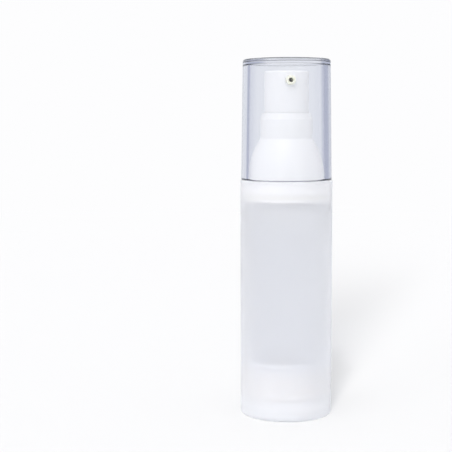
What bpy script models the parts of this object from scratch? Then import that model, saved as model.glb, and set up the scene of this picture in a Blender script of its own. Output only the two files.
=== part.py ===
"""Airless pump bottle for lotion: frosted tube, follower piston, press pump and clear overcap.

Metres, +Z up. The origin is the centre of the foot's underside, and every turned piece is coaxial with Z.
The nozzle points along -Y. The rest pose has the cap on, the button up and the follower piston at the
bottom, as in a full bottle.
"""

import math

import bmesh
import bpy

MM = 0.001
AXIS_MARK = 5.0 * MM  # drawn size of the empties

# Clearances between neighbours
GAP = 0.3 * MM  # between pieces that seat on or fit into one another
SNAP = 0.45 * MM  # height of the snap beads, which reach past the gap into their grooves
SNAP_HALF = 0.6 * MM  # half the width of a snap bead

# Bottle: a straight frosted tube, open at both ends
BOTTLE_RADIUS = 17.5 * MM
BOTTLE_WALL = 1.8 * MM
BOTTLE_HEIGHT = 89.9 * MM
FOOT_ROUND = 1.0 * MM
RIM_ROUND = 0.4 * MM

# Base plug: an upturned cup snapped into the foot
PLUG_RECESS = 0.6 * MM
PLUG_HEIGHT = 6.6 * MM
PLUG_WALL = 1.4 * MM
PLUG_BEAD_RISE = 3.0 * MM
VENT_RADIUS = 3.2 * MM

# Follower piston: two lips on a waist, and a well that goes round the pump housing
FOLLOWER_HEIGHT = 14.0 * MM
FOLLOWER_GAP = 0.25 * MM
FOLLOWER_LIP = 1.6 * MM
FOLLOWER_WAIST = 0.6 * MM
FOLLOWER_WALL = 1.3 * MM
FOLLOWER_FLOOR = 1.8 * MM
WELL_ROOM = 1.8 * MM

# Collar: skirt that plugs the mouth, land that grips the cap, dome and sleeve
SKIRT_DEPTH = 7.8 * MM
SKIRT_WALL = 1.4 * MM
SKIRT_BEAD_DROP = 4.2 * MM
DOME_ROUND = 28.0 * MM
DOME_WALL = 1.3 * MM
DOME_STEPS = 5
DOME_INNER_START = 6.9 * MM  # where the arc begins inside, above the cap's foot
SHELF_RISE = 0.5 * MM
SHELF_WIDTH = 1.8 * MM
SLEEVE_WALL = 1.2 * MM
SLEEVE_HEIGHT = 9.5 * MM
LIP_HEIGHT = 1.6 * MM
LIP_WIDTH = 0.7 * MM

# Mouth seal: soft ring in a groove of the skirt
MOUTH_SEAL_RISE = 1.3 * MM
MOUTH_SEAL_HEIGHT = 1.0 * MM
MOUTH_SEAL_THICKNESS = 0.55 * MM
MOUTH_SEAL_GAP = 0.12 * MM

# Overcap: clear, drafted, thick-walled
CAP_SETBACK = 0.3 * MM  # of its foot from the tube's outer face
CAP_HEADROOM = 2.5 * MM  # over the button at rest
CAP_WALL = 2.35 * MM
CAP_CEILING = 2.0 * MM
CAP_DRAFT = 0.65 * MM
CAP_GRIP_GAP = 0.35 * MM
CAP_CORNER = 1.0 * MM
CAP_LEAD_IN = 0.4 * MM
CAP_LEAD_IN_HEIGHT = 1.0 * MM

# Actuator: the button
ACTUATOR_RADIUS = 8.4 * MM
ACTUATOR_SHOWS = 15.8 * MM
ACTUATOR_INSERTION = 8.0 * MM
ACTUATOR_WALL = 1.2 * MM
ACTUATOR_TOP = 1.9 * MM
ACTUATOR_CORNER = 0.7 * MM
POST_RADIUS = 3.8 * MM
POST_FLANGE = 5.3 * MM
POST_FLANGE_HEIGHT = 1.2 * MM
STEM_SOCKET = 11.0 * MM
STROKE = 4.5 * MM
PRESS_ROOM = 1.0 * MM  # between the button's skirt and the turret at the end of the stroke

# Outlet: channel, slit valve and nozzle in the actuator's front
NOZZLE_DROP = 3.6 * MM
NOZZLE_RADIUS = 1.75 * MM
NOZZLE_BORE = 0.8 * MM
NOZZLE_REACH = 1.8 * MM
NOZZLE_SEAT = 3.1 * MM
NOZZLE_ROUND = 0.3 * MM
BOSS_RADIUS = 2.9 * MM
BOSS_REACH = 0.5 * MM
OUTLET_VALVE_RADIUS = 1.4 * MM
OUTLET_VALVE_LENGTH = 2.1 * MM
OUTLET_VALVE_WALL = 0.45 * MM
OUTLET_SLIT = 0.3 * MM
CHANNEL_RADIUS = 1.2 * MM
CROSS_CHANNEL_RADIUS = 1.1 * MM

# Stem and turret
STEM_RADIUS = 2.2 * MM
STEM_SHOULDER_WALL = 0.5 * MM
STEM_SHOULDER_HEIGHT = 5.7 * MM
ROD_PLUG_DEPTH = 4.4 * MM
TURRET_WALL = 1.1 * MM
TURRET_PLATE = 1.3 * MM
TURRET_POCKET = 1.7 * MM
TURRET_GUIDE_RISE = 1.4 * MM
TURRET_GUIDE_WALL = 1.2 * MM
TURRET_SKIRT = 5.5 * MM
STEM_SEAL_HEIGHT = 1.0 * MM

# Pump housing, with its flange, chamber, valve pocket and inlet
FLANGE_GASKET_HEIGHT = 0.8 * MM
GASKET_WIDTH = 3.0 * MM
FLANGE_THICKNESS = 1.3 * MM
RETAINING_WALL = 3.5 * MM
HOUSING_WALL = 1.2 * MM
CHAMBER_RADIUS = 6.0 * MM
CHAMBER_ROOM = 0.7 * MM  # under the rod's foot at the end of the stroke
INLET_WALL = 1.2 * MM
INLET_RADIUS = 1.0 * MM
INLET_LENGTH = 0.8 * MM
BALL_RADIUS = 1.5 * MM
BALL_ROOM = 0.9 * MM
BALL_LIFT = 0.8 * MM
BALL_SEGMENTS = 14
BALL_RINGS = 8
CAGE_RADIUS = 3.4 * MM
CAGE_HEIGHT = 1.0 * MM
CAGE_SLOT = 1.4 * MM
CAGE_HOLE = 0.7 * MM

# Piston and rod
PISTON_HEIGHT = 7.0 * MM
PISTON_LIP = 1.0 * MM
PISTON_WAIST = 0.6 * MM
PISTON_GAP = 0.25 * MM
PISTON_SHIFT = 0.8 * MM
ROD_RADIUS = 2.6 * MM
ROD_BORE = 1.2 * MM
ROD_FOOT_RADIUS = 3.9 * MM
ROD_FOOT_HEIGHT = 1.3 * MM
ROD_PORT_RADIUS = 0.6 * MM
ROD_PORT_SEGMENTS = 12
ROD_PORT_RISE = 1.2 * MM
ROD_BORE_RISE = 0.3 * MM

# Return spring
SPRING_TURNS = 5
SPRING_WIRE_RADIUS = 0.35 * MM
SPRING_ROOM = 1.0 * MM  # spare height over the closed spring at the end of the stroke
SPRING_POINTS_PER_TURN = 10

# Segments round a turned piece
FINE = 36
MEDIUM = 28
COARSE = 20

# Radii that follow from the driving sizes
bottle_bore = BOTTLE_RADIUS - BOTTLE_WALL
skirt_radius = bottle_bore - GAP
skirt_bore = skirt_radius - SKIRT_WALL
sleeve_bore = ACTUATOR_RADIUS + GAP
sleeve_radius = sleeve_bore + SLEEVE_WALL
cap_foot_radius = BOTTLE_RADIUS - CAP_SETBACK
cap_top_radius = cap_foot_radius - CAP_DRAFT
land_radius = cap_foot_radius - CAP_WALL - CAP_GRIP_GAP
housing_radius = CHAMBER_RADIUS + HOUSING_WALL
turret_radius = housing_radius + GAP + TURRET_WALL
ball_pocket = BALL_RADIUS + BALL_ROOM
cage_pocket = CAGE_RADIUS + GAP
inlet_tube_radius = cage_pocket + INLET_WALL
stem_guide_bore = STEM_RADIUS + GAP
stem_shoulder_radius = ROD_RADIUS + GAP + STEM_SHOULDER_WALL
turret_pocket_radius = stem_shoulder_radius + GAP
turret_guide_radius = stem_guide_bore + TURRET_GUIDE_WALL
insert_seat_radius = NOZZLE_RADIUS + GAP
valve_seat_radius = OUTLET_VALVE_RADIUS + GAP

# Heights that follow from the driving sizes, from the foot upwards
rim_z = BOTTLE_HEIGHT
plug_foot_z = PLUG_RECESS
plug_top_z = plug_foot_z + PLUG_HEIGHT
follower_foot_z = plug_top_z + GAP
follower_top_z = follower_foot_z + FOLLOWER_HEIGHT
skirt_foot_z = rim_z - SKIRT_DEPTH
shelf_z = rim_z + SHELF_RISE
gasket_top_z = shelf_z - GAP
flange_top_z = gasket_top_z - FLANGE_GASKET_HEIGHT - GAP
flange_foot_z = flange_top_z - FLANGE_THICKNESS
retaining_top_z = flange_foot_z - GAP
retaining_foot_z = skirt_foot_z + GAP
dome_height = math.sqrt(DOME_ROUND**2 - (DOME_ROUND - land_radius + sleeve_radius) ** 2)
dome_top_z = rim_z + GAP + dome_height
sleeve_top_z = dome_top_z + SLEEVE_HEIGHT
actuator_foot_z = sleeve_top_z - ACTUATOR_INSERTION
actuator_top_z = sleeve_top_z + ACTUATOR_SHOWS
actuator_ceiling_z = actuator_top_z - ACTUATOR_TOP
turret_plate_z = actuator_foot_z - STROKE - PRESS_ROOM
turret_guide_z = turret_plate_z + TURRET_GUIDE_RISE
turret_step_z = turret_plate_z - TURRET_PLATE - TURRET_POCKET
seal_foot_z = turret_step_z - GAP - STEM_SEAL_HEIGHT
housing_top_z = seal_foot_z - GAP
stem_shoulder_z = turret_step_z + TURRET_POCKET - GAP
stem_foot_z = stem_shoulder_z - STEM_SHOULDER_HEIGHT
rod_top_z = stem_foot_z + ROD_PLUG_DEPTH
piston_top_z = stem_foot_z - GAP - PISTON_SHIFT
piston_foot_z = piston_top_z - PISTON_HEIGHT
rod_foot_top_z = piston_foot_z - GAP
rod_foot_z = rod_foot_top_z - ROD_FOOT_HEIGHT
chamber_floor_z = rod_foot_z - STROKE - CHAMBER_ROOM
cage_top_z = chamber_floor_z - GAP
cage_foot_z = cage_top_z - CAGE_HEIGHT
ball_z = cage_foot_z - GAP - BALL_LIFT - BALL_RADIUS
seat_apex_z = ball_z - math.sqrt(2) * (BALL_RADIUS + GAP)
seat_top_z = seat_apex_z + ball_pocket
seat_foot_z = seat_apex_z + INLET_RADIUS
housing_foot_z = seat_foot_z - INLET_LENGTH
closed_spring = (SPRING_TURNS + 1) * 2 * SPRING_WIRE_RADIUS
post_foot_z = turret_plate_z + STROKE + closed_spring + SPRING_ROOM
stem_top_z = post_foot_z + STEM_SOCKET
nozzle_z = actuator_top_z - NOZZLE_DROP
cap_foot_z = rim_z + GAP
ceiling_z = actuator_top_z + CAP_HEADROOM
cap_top_z = ceiling_z + CAP_CEILING


def dome_radius(height_above_rim):
    """Outer radius of the dome, an arc that starts upright at the land."""
    return land_radius - DOME_ROUND + math.sqrt(DOME_ROUND**2 - height_above_rim**2)


def arc(centre_x, centre_z, radius, start_degrees, end_degrees, steps):
    """Points along an arc, from its start to its end, measured from +X towards +Z."""
    points = []
    for step in range(steps + 1):
        angle = math.radians(start_degrees + (end_degrees - start_degrees) * step / steps)
        points.append((centre_x + radius * math.cos(angle), centre_z + radius * math.sin(angle)))
    return points


def clear_scene():
    """Remove whatever the file starts with."""
    for old in list(bpy.data.objects):
        bpy.data.objects.remove(old, do_unlink=True)


def new_collection(name):
    """Make a collection under the scene's own."""
    collection = bpy.data.collections.new(name)
    bpy.context.scene.collection.children.link(collection)
    return collection


def linear(hex_colour):
    """Turn an sRGB hex colour into linear RGBA."""
    channels = []
    for place in (0, 2, 4):
        value = int(hex_colour[place : place + 2], 16) / 255
        channels.append(value / 12.92 if value <= 0.04045 else ((value + 0.055) / 1.055) ** 2.4)
    return (*channels, 1.0)


def make_material(name, hex_colour, roughness, metallic=0.0, transmission=0.0):
    """A Principled material of one colour."""
    material = bpy.data.materials.new(name)
    material.use_nodes = True
    shader = material.node_tree.nodes["Principled BSDF"]
    shader.inputs["Base Color"].default_value = linear(hex_colour)
    shader.inputs["Roughness"].default_value = roughness
    shader.inputs["Metallic"].default_value = metallic
    shader.inputs["Transmission Weight"].default_value = transmission
    material.diffuse_color = linear(hex_colour)
    return material


def link_object(name, data, collection, material=None):
    """Add an object for some data, dressed in one material."""
    item = bpy.data.objects.new(name, data)
    collection.objects.link(item)
    if material is not None:
        data.materials.append(material)
    return item


def make_empty(name, location, collection):
    """An empty that marks a moving group's axis."""
    empty = bpy.data.objects.new(name, None)
    empty.empty_display_size = AXIS_MARK
    empty.location = location
    collection.objects.link(empty)
    return empty


def put_under(child, parent):
    """Parent a piece to an empty and keep it where it is."""
    bpy.context.view_layer.update()
    child.parent = parent
    child.matrix_parent_inverse = parent.matrix_world.inverted()


def profile_mesh(name, profile, foot_z, ring):
    """Edges through a profile of (radius, height) points, lowered by foot_z and closed if it is a ring."""
    mesh = bpy.data.meshes.new(name)
    vertices = [(radius, 0.0, height - foot_z) for radius, height in profile]
    edges = [(index, index + 1) for index in range(len(vertices) - 1)]
    if ring:
        edges.append((len(vertices) - 1, 0))
    mesh.from_pydata(vertices, edges, [])
    return mesh


def turned(name, profile, foot_z, segments, material, collection, ring=True):
    """A turned piece. The profile runs down the outer side and, on a ring, back up the inner side."""
    item = link_object(name, profile_mesh(name, profile, foot_z, ring), collection, material)
    item.location = (0.0, 0.0, foot_z)
    screw = item.modifiers.new("turn", "SCREW")
    screw.steps = segments
    screw.render_steps = segments
    screw.use_merge_vertices = True
    screw.merge_threshold = 0.00001
    screw.use_smooth_shade = True
    return item


def cylinder_mesh(name, radius, length, segments):
    """A closed cylinder along Z, centred on its origin."""
    mesh = bpy.data.meshes.new(name)
    shape = bmesh.new()
    bmesh.ops.create_cone(
        shape, cap_ends=True, segments=segments, radius1=radius, radius2=radius, depth=length
    )
    shape.to_mesh(mesh)
    shape.free()
    return mesh


def box_mesh(name, size_x, size_y, size_z):
    """A closed box centred on its origin."""
    mesh = bpy.data.meshes.new(name)
    shape = bmesh.new()
    bmesh.ops.create_cube(shape, size=1.0)
    bmesh.ops.scale(shape, vec=(size_x, size_y, size_z), verts=shape.verts)
    shape.to_mesh(mesh)
    shape.free()
    return mesh


def as_cutter(name, mesh, location, rotation, collection):
    """A hidden object that another piece is cut or joined with."""
    cutter = link_object(name, mesh, collection)
    cutter.location = location
    cutter.rotation_euler = rotation
    cutter.hide_render = True
    cutter.display_type = "WIRE"
    return cutter


def apply_boolean(item, cutter, operation):
    """Cut the piece with the cutter, or join the two."""
    boolean = item.modifiers.new(cutter.name, "BOOLEAN")
    boolean.operation = operation
    boolean.solver = "EXACT"
    boolean.object = cutter


def snap_bead(radius, height_z, outward):
    """Three points of a rounded bead, top to bottom; outward is +1 for a bead or a groove in a bore."""
    return [
        (radius, height_z + SNAP_HALF),
        (radius + outward * SNAP, height_z),
        (radius, height_z - SNAP_HALF),
    ]


def build_bottle(material, collection):
    """The frosted tube: rounded foot and rim outside, two snap grooves in the bore."""
    groove_top_z = rim_z - SKIRT_BEAD_DROP
    groove_foot_z = plug_foot_z + PLUG_BEAD_RISE
    rim = arc(BOTTLE_RADIUS - RIM_ROUND, rim_z - RIM_ROUND, RIM_ROUND, 90, 0, 2)
    foot = arc(BOTTLE_RADIUS - FOOT_ROUND, FOOT_ROUND, FOOT_ROUND, 0, -90, 3)
    bore = [(bottle_bore, 0.0)]
    bore += reversed(snap_bead(bottle_bore, groove_foot_z, 1))
    bore += reversed(snap_bead(bottle_bore, groove_top_z, 1))
    bore.append((bottle_bore, rim_z))
    return turned("bottle", rim + foot + bore, 0.0, FINE, material, collection)


def build_base_plug(material, collection):
    """An upturned cup with a vent hole in its plate and a snap bead round its wall."""
    outer = bottle_bore - GAP
    inner = outer - PLUG_WALL
    profile = [(VENT_RADIUS, plug_top_z), (outer, plug_top_z)]
    profile += snap_bead(outer, plug_foot_z + PLUG_BEAD_RISE, 1)
    profile += [(outer, plug_foot_z), (inner, plug_foot_z)]
    profile += [(inner, plug_top_z - PLUG_WALL), (VENT_RADIUS, plug_top_z - PLUG_WALL)]
    return turned("base_plug", profile, plug_foot_z, FINE, material, collection)


def build_follower(material, collection):
    """The follower piston: two wiping lips, a waist between them, and a central well for the pump."""
    lip = bottle_bore - FOLLOWER_GAP
    waist = lip - FOLLOWER_WAIST
    wall = waist - FOLLOWER_WALL
    well = housing_radius + WELL_ROOM
    well_outer = well + FOLLOWER_WALL
    floor_z = follower_foot_z + FOLLOWER_FLOOR
    shoulder_z = follower_top_z - FOLLOWER_LIP
    profile = [(0.0, floor_z), (well, floor_z), (well, shoulder_z), (wall, shoulder_z), (lip, follower_top_z)]
    profile += [(lip, shoulder_z), (waist, shoulder_z - FOLLOWER_WAIST)]
    lower_lip_z = follower_foot_z + FOLLOWER_LIP
    profile += [(waist, lower_lip_z + FOLLOWER_WAIST), (lip, lower_lip_z)]
    profile += [(lip, follower_foot_z), (wall, follower_foot_z)]
    profile += [(wall, shoulder_z - FOLLOWER_WALL), (well_outer, shoulder_z - FOLLOWER_WALL)]
    profile += [(well_outer, follower_foot_z), (0.0, follower_foot_z)]
    return turned("follower_piston", profile, follower_foot_z, FINE, material, collection, ring=False)


def build_collar(material, collection):
    """The white collar: skirt in the mouth, land under the cap, dome and sleeve round the button."""
    seal_foot = skirt_foot_z + MOUTH_SEAL_RISE
    seal_top = seal_foot + MOUTH_SEAL_HEIGHT
    groove = bottle_bore - MOUTH_SEAL_GAP - MOUTH_SEAL_THICKNESS - GAP
    profile = [(sleeve_bore, sleeve_top_z), (sleeve_radius - LIP_WIDTH, sleeve_top_z)]
    profile += [(sleeve_radius, sleeve_top_z - LIP_HEIGHT), (sleeve_radius, dome_top_z)]
    for step in range(1, DOME_STEPS + 1):
        height = dome_height * (1 - step / DOME_STEPS)
        profile.append((dome_radius(height), rim_z + GAP + height))
    profile += [(land_radius, rim_z), (skirt_radius, rim_z)]
    profile += snap_bead(skirt_radius, rim_z - SKIRT_BEAD_DROP, 1)
    profile += [(skirt_radius, seal_top + GAP), (groove, seal_top + GAP)]
    profile += [(groove, seal_foot - GAP), (skirt_radius, seal_foot - GAP)]
    profile += [(skirt_radius, skirt_foot_z), (skirt_bore, skirt_foot_z)]
    profile += [(skirt_bore, shelf_z), (skirt_bore - SHELF_WIDTH, shelf_z)]
    inner_steps = DOME_STEPS - 1
    for step in range(inner_steps + 1):
        height = DOME_INNER_START + (dome_height - DOME_INNER_START) * step / inner_steps
        profile.append((dome_radius(height) - DOME_WALL, rim_z + GAP + height - DOME_WALL))
    profile[-1] = (sleeve_bore, dome_top_z - DOME_WALL)
    return turned("collar", profile, skirt_foot_z, FINE, material, collection)


def build_mouth_seal(material, collection):
    """The soft ring that seals the collar's skirt against the bottle's bore."""
    outer = bottle_bore - MOUTH_SEAL_GAP
    inner = outer - MOUTH_SEAL_THICKNESS
    foot_z = skirt_foot_z + MOUTH_SEAL_RISE
    top_z = foot_z + MOUTH_SEAL_HEIGHT
    profile = [(inner, top_z), (outer, top_z), (outer, foot_z), (inner, foot_z)]
    return turned("mouth_seal", profile, foot_z, FINE, material, collection)


def build_flange_gasket(material, collection):
    """The washer between the collar's shelf and the housing's flange."""
    outer = skirt_bore - GAP
    foot_z = flange_top_z + GAP
    inner = outer - GASKET_WIDTH
    profile = [(inner, gasket_top_z), (outer, gasket_top_z), (outer, foot_z), (inner, foot_z)]
    return turned("flange_gasket", profile, foot_z, FINE, material, collection)


def build_retaining_ring(material, collection):
    """The ring under the flange that keeps the pump in the collar."""
    outer = skirt_bore - GAP
    inner = outer - RETAINING_WALL
    profile = [(inner, retaining_top_z), (outer, retaining_top_z)]
    profile += [(outer, retaining_foot_z), (inner, retaining_foot_z)]
    return turned("retaining_ring", profile, retaining_foot_z, FINE, material, collection)


def build_housing(material, collection):
    """The pump housing: chamber, flange, pocket for the cage, ball pocket, conical seat and inlet."""
    tube_step_z = chamber_floor_z - HOUSING_WALL
    profile = [(CHAMBER_RADIUS, housing_top_z), (housing_radius, housing_top_z)]
    profile += [(housing_radius, flange_top_z), (skirt_bore - GAP, flange_top_z)]
    profile += [(skirt_bore - GAP, flange_foot_z), (housing_radius, flange_foot_z)]
    profile += [(housing_radius, tube_step_z), (inlet_tube_radius, tube_step_z - HOUSING_WALL)]
    profile += [(inlet_tube_radius, housing_foot_z), (INLET_RADIUS, housing_foot_z)]
    profile += [(INLET_RADIUS, seat_foot_z), (ball_pocket, seat_top_z), (ball_pocket, cage_foot_z - GAP)]
    profile += [(cage_pocket, cage_foot_z - GAP), (cage_pocket, chamber_floor_z)]
    profile.append((CHAMBER_RADIUS, chamber_floor_z))
    return turned("pump_housing", profile, housing_foot_z, MEDIUM, material, collection)


def build_ball_cage(material, collection, cutters):
    """The disc over the ball pocket, with a hole and two crossed slots that let the product past."""
    profile = [(CAGE_HOLE, cage_top_z), (CAGE_RADIUS, cage_top_z)]
    profile += [(CAGE_RADIUS, cage_foot_z), (CAGE_HOLE, cage_foot_z)]
    cage = turned("ball_cage", profile, cage_foot_z, COARSE, material, collection)
    slot_length = 2 * (ball_pocket - GAP)
    middle = (0.0, 0.0, cage_foot_z + CAGE_HEIGHT / 2)
    for index, turn in enumerate((0.0, math.pi / 2)):
        mesh = box_mesh(f"cage_slot_{index}", slot_length, CAGE_SLOT, CAGE_HEIGHT * 2)
        slot = as_cutter(f"cage_slot_{index}", mesh, middle, (0.0, 0.0, turn), cutters)
        apply_boolean(cage, slot, "DIFFERENCE")
    return cage


def build_inlet_ball(material, collection):
    """The inlet valve's ball, resting on its conical seat."""
    mesh = bpy.data.meshes.new("inlet_ball")
    shape = bmesh.new()
    bmesh.ops.create_uvsphere(shape, u_segments=BALL_SEGMENTS, v_segments=BALL_RINGS, radius=BALL_RADIUS)
    shape.to_mesh(mesh)
    shape.free()
    mesh.shade_smooth()
    ball = link_object("inlet_ball", mesh, collection, material)
    ball.location = (0.0, 0.0, ball_z)
    return ball


def build_piston(material, collection):
    """The pump piston: a lip at each end, a waist between, sliding on the rod."""
    lip = CHAMBER_RADIUS - PISTON_GAP
    waist = lip - PISTON_WAIST
    bore = ROD_RADIUS + GAP
    profile = [(bore, piston_top_z), (waist, piston_top_z - PISTON_LIP), (lip, piston_top_z)]
    profile += [(lip, piston_top_z - PISTON_LIP), (waist, piston_top_z - 2 * PISTON_LIP)]
    profile += [(waist, piston_foot_z + 2 * PISTON_LIP), (lip, piston_foot_z + PISTON_LIP)]
    profile += [(lip, piston_foot_z), (waist, piston_foot_z + PISTON_LIP), (bore, piston_foot_z)]
    return turned("pump_piston", profile, piston_foot_z, MEDIUM, material, collection)


def build_rod(material, collection, cutters):
    """The piston rod: a valve foot, a bored shaft that plugs into the stem, and cross ports."""
    bore_foot_z = rod_foot_top_z + ROD_BORE_RISE
    profile = [(ROD_BORE, rod_top_z), (ROD_RADIUS, rod_top_z), (ROD_RADIUS, rod_foot_top_z)]
    profile += [(ROD_FOOT_RADIUS, rod_foot_top_z), (ROD_FOOT_RADIUS, rod_foot_z), (0.0, rod_foot_z)]
    profile = [(0.0, bore_foot_z), (ROD_BORE, bore_foot_z)] + profile
    rod = turned("piston_rod", profile, rod_foot_z, COARSE, material, collection, ring=False)
    mesh = cylinder_mesh("rod_ports", ROD_PORT_RADIUS, 4 * ROD_RADIUS, ROD_PORT_SEGMENTS)
    middle = (0.0, 0.0, rod_foot_top_z + ROD_PORT_RISE)
    ports = as_cutter("rod_ports", mesh, middle, (0.0, math.pi / 2, 0.0), cutters)
    apply_boolean(rod, ports, "DIFFERENCE")
    return rod


def build_stem(material, collection):
    """The hollow stem: a narrow tube over a shoulder that stops under the turret."""
    socket = ROD_RADIUS + GAP
    socket_top_z = rod_top_z + GAP
    profile = [(ROD_BORE, stem_top_z), (STEM_RADIUS, stem_top_z), (STEM_RADIUS, stem_shoulder_z)]
    profile += [(stem_shoulder_radius, stem_shoulder_z), (stem_shoulder_radius, stem_foot_z)]
    profile += [(socket, stem_foot_z), (socket, socket_top_z), (ROD_BORE, socket_top_z)]
    return turned("stem", profile, stem_foot_z, COARSE, material, collection)


def build_turret(material, collection):
    """The turret: a cap over the housing's top with a pocket for the stem's shoulder and a guide."""
    skirt_bore_radius = housing_radius + GAP
    pocket_top_z = turret_step_z + TURRET_POCKET
    foot_z = turret_step_z - TURRET_SKIRT
    profile = [(stem_guide_bore, turret_guide_z), (turret_guide_radius, turret_guide_z)]
    profile += [(turret_guide_radius, turret_plate_z), (turret_radius, turret_plate_z)]
    profile += [(turret_radius, foot_z), (skirt_bore_radius, foot_z), (skirt_bore_radius, turret_step_z)]
    profile += [(turret_pocket_radius, turret_step_z), (turret_pocket_radius, pocket_top_z)]
    profile.append((stem_guide_bore, pocket_top_z))
    return turned("turret", profile, foot_z, MEDIUM, material, collection)


def build_stem_seal(material, collection):
    """The wiper washer that lies on the housing's rim under the turret's step."""
    inner = turret_pocket_radius
    profile = [(inner, seal_foot_z + STEM_SEAL_HEIGHT), (housing_radius, seal_foot_z + STEM_SEAL_HEIGHT)]
    profile += [(housing_radius, seal_foot_z), (inner, seal_foot_z)]
    return turned("stem_seal", profile, seal_foot_z, MEDIUM, material, collection)


def spring_points(foot_z, top_z, radius):
    """Centre line of the helix from its lower seat to its upper one."""
    steps = SPRING_TURNS * SPRING_POINTS_PER_TURN
    points = []
    for step in range(steps + 1):
        share = step / steps
        angle = 2 * math.pi * SPRING_TURNS * share
        height = foot_z + (top_z - foot_z) * share
        points.append((radius * math.cos(angle), radius * math.sin(angle), height))
    return points


def least_gap(points, wire_radius, turn_points):
    """Least space between a helix's turns, from the points at least half a turn apart."""
    least = math.inf
    for first, point in enumerate(points):
        for other in points[first + turn_points // 2 :]:
            least = min(least, math.dist(point, other))
    return least - 2 * wire_radius


def mesh_from_curve(name, curve_object, collection, material):
    """Turn a curve object into a mesh object with welded caps, and remove the curve."""
    bpy.context.view_layer.update()
    evaluated = curve_object.evaluated_get(bpy.context.evaluated_depsgraph_get())
    mesh = bpy.data.meshes.new_from_object(evaluated)
    shape = bmesh.new()
    shape.from_mesh(mesh)
    bmesh.ops.remove_doubles(shape, verts=shape.verts, dist=0.000001)
    shape.to_mesh(mesh)
    shape.free()
    mesh.materials.clear()
    mesh.shade_smooth()
    item = link_object(name, mesh, collection, material)
    item.matrix_world = curve_object.matrix_world
    bpy.data.objects.remove(curve_object, do_unlink=True)
    return item


def build_spring(material, collection):
    """The return spring round the turret's guide, from the turret's plate to the post's flange."""
    radius = (turret_guide_radius + POST_FLANGE) / 2
    foot_z = turret_plate_z + GAP + SPRING_WIRE_RADIUS
    top_z = post_foot_z - GAP - SPRING_WIRE_RADIUS
    points = spring_points(foot_z, top_z, radius)
    gap = least_gap(points, SPRING_WIRE_RADIUS, SPRING_POINTS_PER_TURN)
    print(f"spring: least gap to itself {gap / MM:.2f} mm")
    curve = bpy.data.curves.new("spring_curve", "CURVE")
    curve.dimensions = "3D"
    curve.bevel_depth = SPRING_WIRE_RADIUS
    curve.bevel_resolution = 1
    curve.use_fill_caps = True
    spline = curve.splines.new("POLY")
    spline.points.add(len(points) - 1)
    for spot, (x, y, z) in zip(spline.points, points):
        spot.co = (x, y, z - foot_z, 1.0)
    curve_object = link_object("spring_curve", curve, collection)
    curve_object.location = (0.0, 0.0, foot_z)
    return mesh_from_curve("spring", curve_object, collection, material)


def build_actuator(material, collection, cutters):
    """The button: a shell and a socketed post in one turning, then the outlet's tube, channel and seats."""
    inner = ACTUATOR_RADIUS - ACTUATOR_WALL
    socket = STEM_RADIUS + GAP
    flange_top = post_foot_z + POST_FLANGE_HEIGHT
    corner_x = ACTUATOR_RADIUS - ACTUATOR_CORNER
    corner_z = actuator_top_z - ACTUATOR_CORNER
    profile = [(0.0, actuator_top_z)] + arc(corner_x, corner_z, ACTUATOR_CORNER, 90, 0, 3)
    profile += [(ACTUATOR_RADIUS, actuator_foot_z), (inner, actuator_foot_z), (inner, actuator_ceiling_z)]
    profile += [(POST_RADIUS, actuator_ceiling_z), (POST_RADIUS, flange_top), (POST_FLANGE, flange_top)]
    profile += [(POST_FLANGE, post_foot_z), (socket, post_foot_z), (socket, stem_top_z + GAP)]
    profile += [(CHANNEL_RADIUS, stem_top_z + GAP), (CHANNEL_RADIUS, nozzle_z), (0.0, nozzle_z)]
    button = turned("actuator", profile, actuator_foot_z, FINE, material, collection, ring=False)

    along_y = (math.pi / 2, 0.0, 0.0)
    front_y = -ACTUATOR_RADIUS
    boss_tip = front_y - BOSS_REACH
    boss_root = -(CHANNEL_RADIUS + GAP)
    boss_mesh = cylinder_mesh("outlet_tube", BOSS_RADIUS, boss_root - boss_tip, COARSE)
    boss = as_cutter("outlet_tube", boss_mesh, (0.0, (boss_root + boss_tip) / 2, nozzle_z), along_y, cutters)
    apply_boolean(button, boss, "UNION")

    seat_end = front_y + NOZZLE_SEAT
    valve_end = seat_end + OUTLET_VALVE_LENGTH + GAP
    past_boss = boss_tip - GAP
    holes = (
        ("outlet_channel", CROSS_CHANNEL_RADIUS, 0.0),
        ("valve_seat", valve_seat_radius, valve_end),
        ("nozzle_seat", insert_seat_radius, seat_end),
    )
    for name, radius, end in holes:
        mesh = cylinder_mesh(name, radius, end - past_boss, COARSE)
        hole = as_cutter(name, mesh, (0.0, (end + past_boss) / 2, nozzle_z), along_y, cutters)
        apply_boolean(button, hole, "DIFFERENCE")
    return button


def build_nozzle(material, collection):
    """The ivory nozzle ring, turned about Z and laid along -Y."""
    length = NOZZLE_REACH + NOZZLE_SEAT - GAP
    tip = arc(NOZZLE_RADIUS - NOZZLE_ROUND, length - NOZZLE_ROUND, NOZZLE_ROUND, 90, 0, 2)
    profile = [(NOZZLE_BORE, length)] + tip + [(NOZZLE_RADIUS, 0.0), (NOZZLE_BORE, 0.0)]
    nozzle = turned("nozzle_insert", profile, 0.0, COARSE, material, collection)
    nozzle.rotation_euler = (math.pi / 2, 0.0, 0.0)
    nozzle.location = (0.0, -ACTUATOR_RADIUS + NOZZLE_SEAT - GAP, nozzle_z)
    return nozzle


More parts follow.
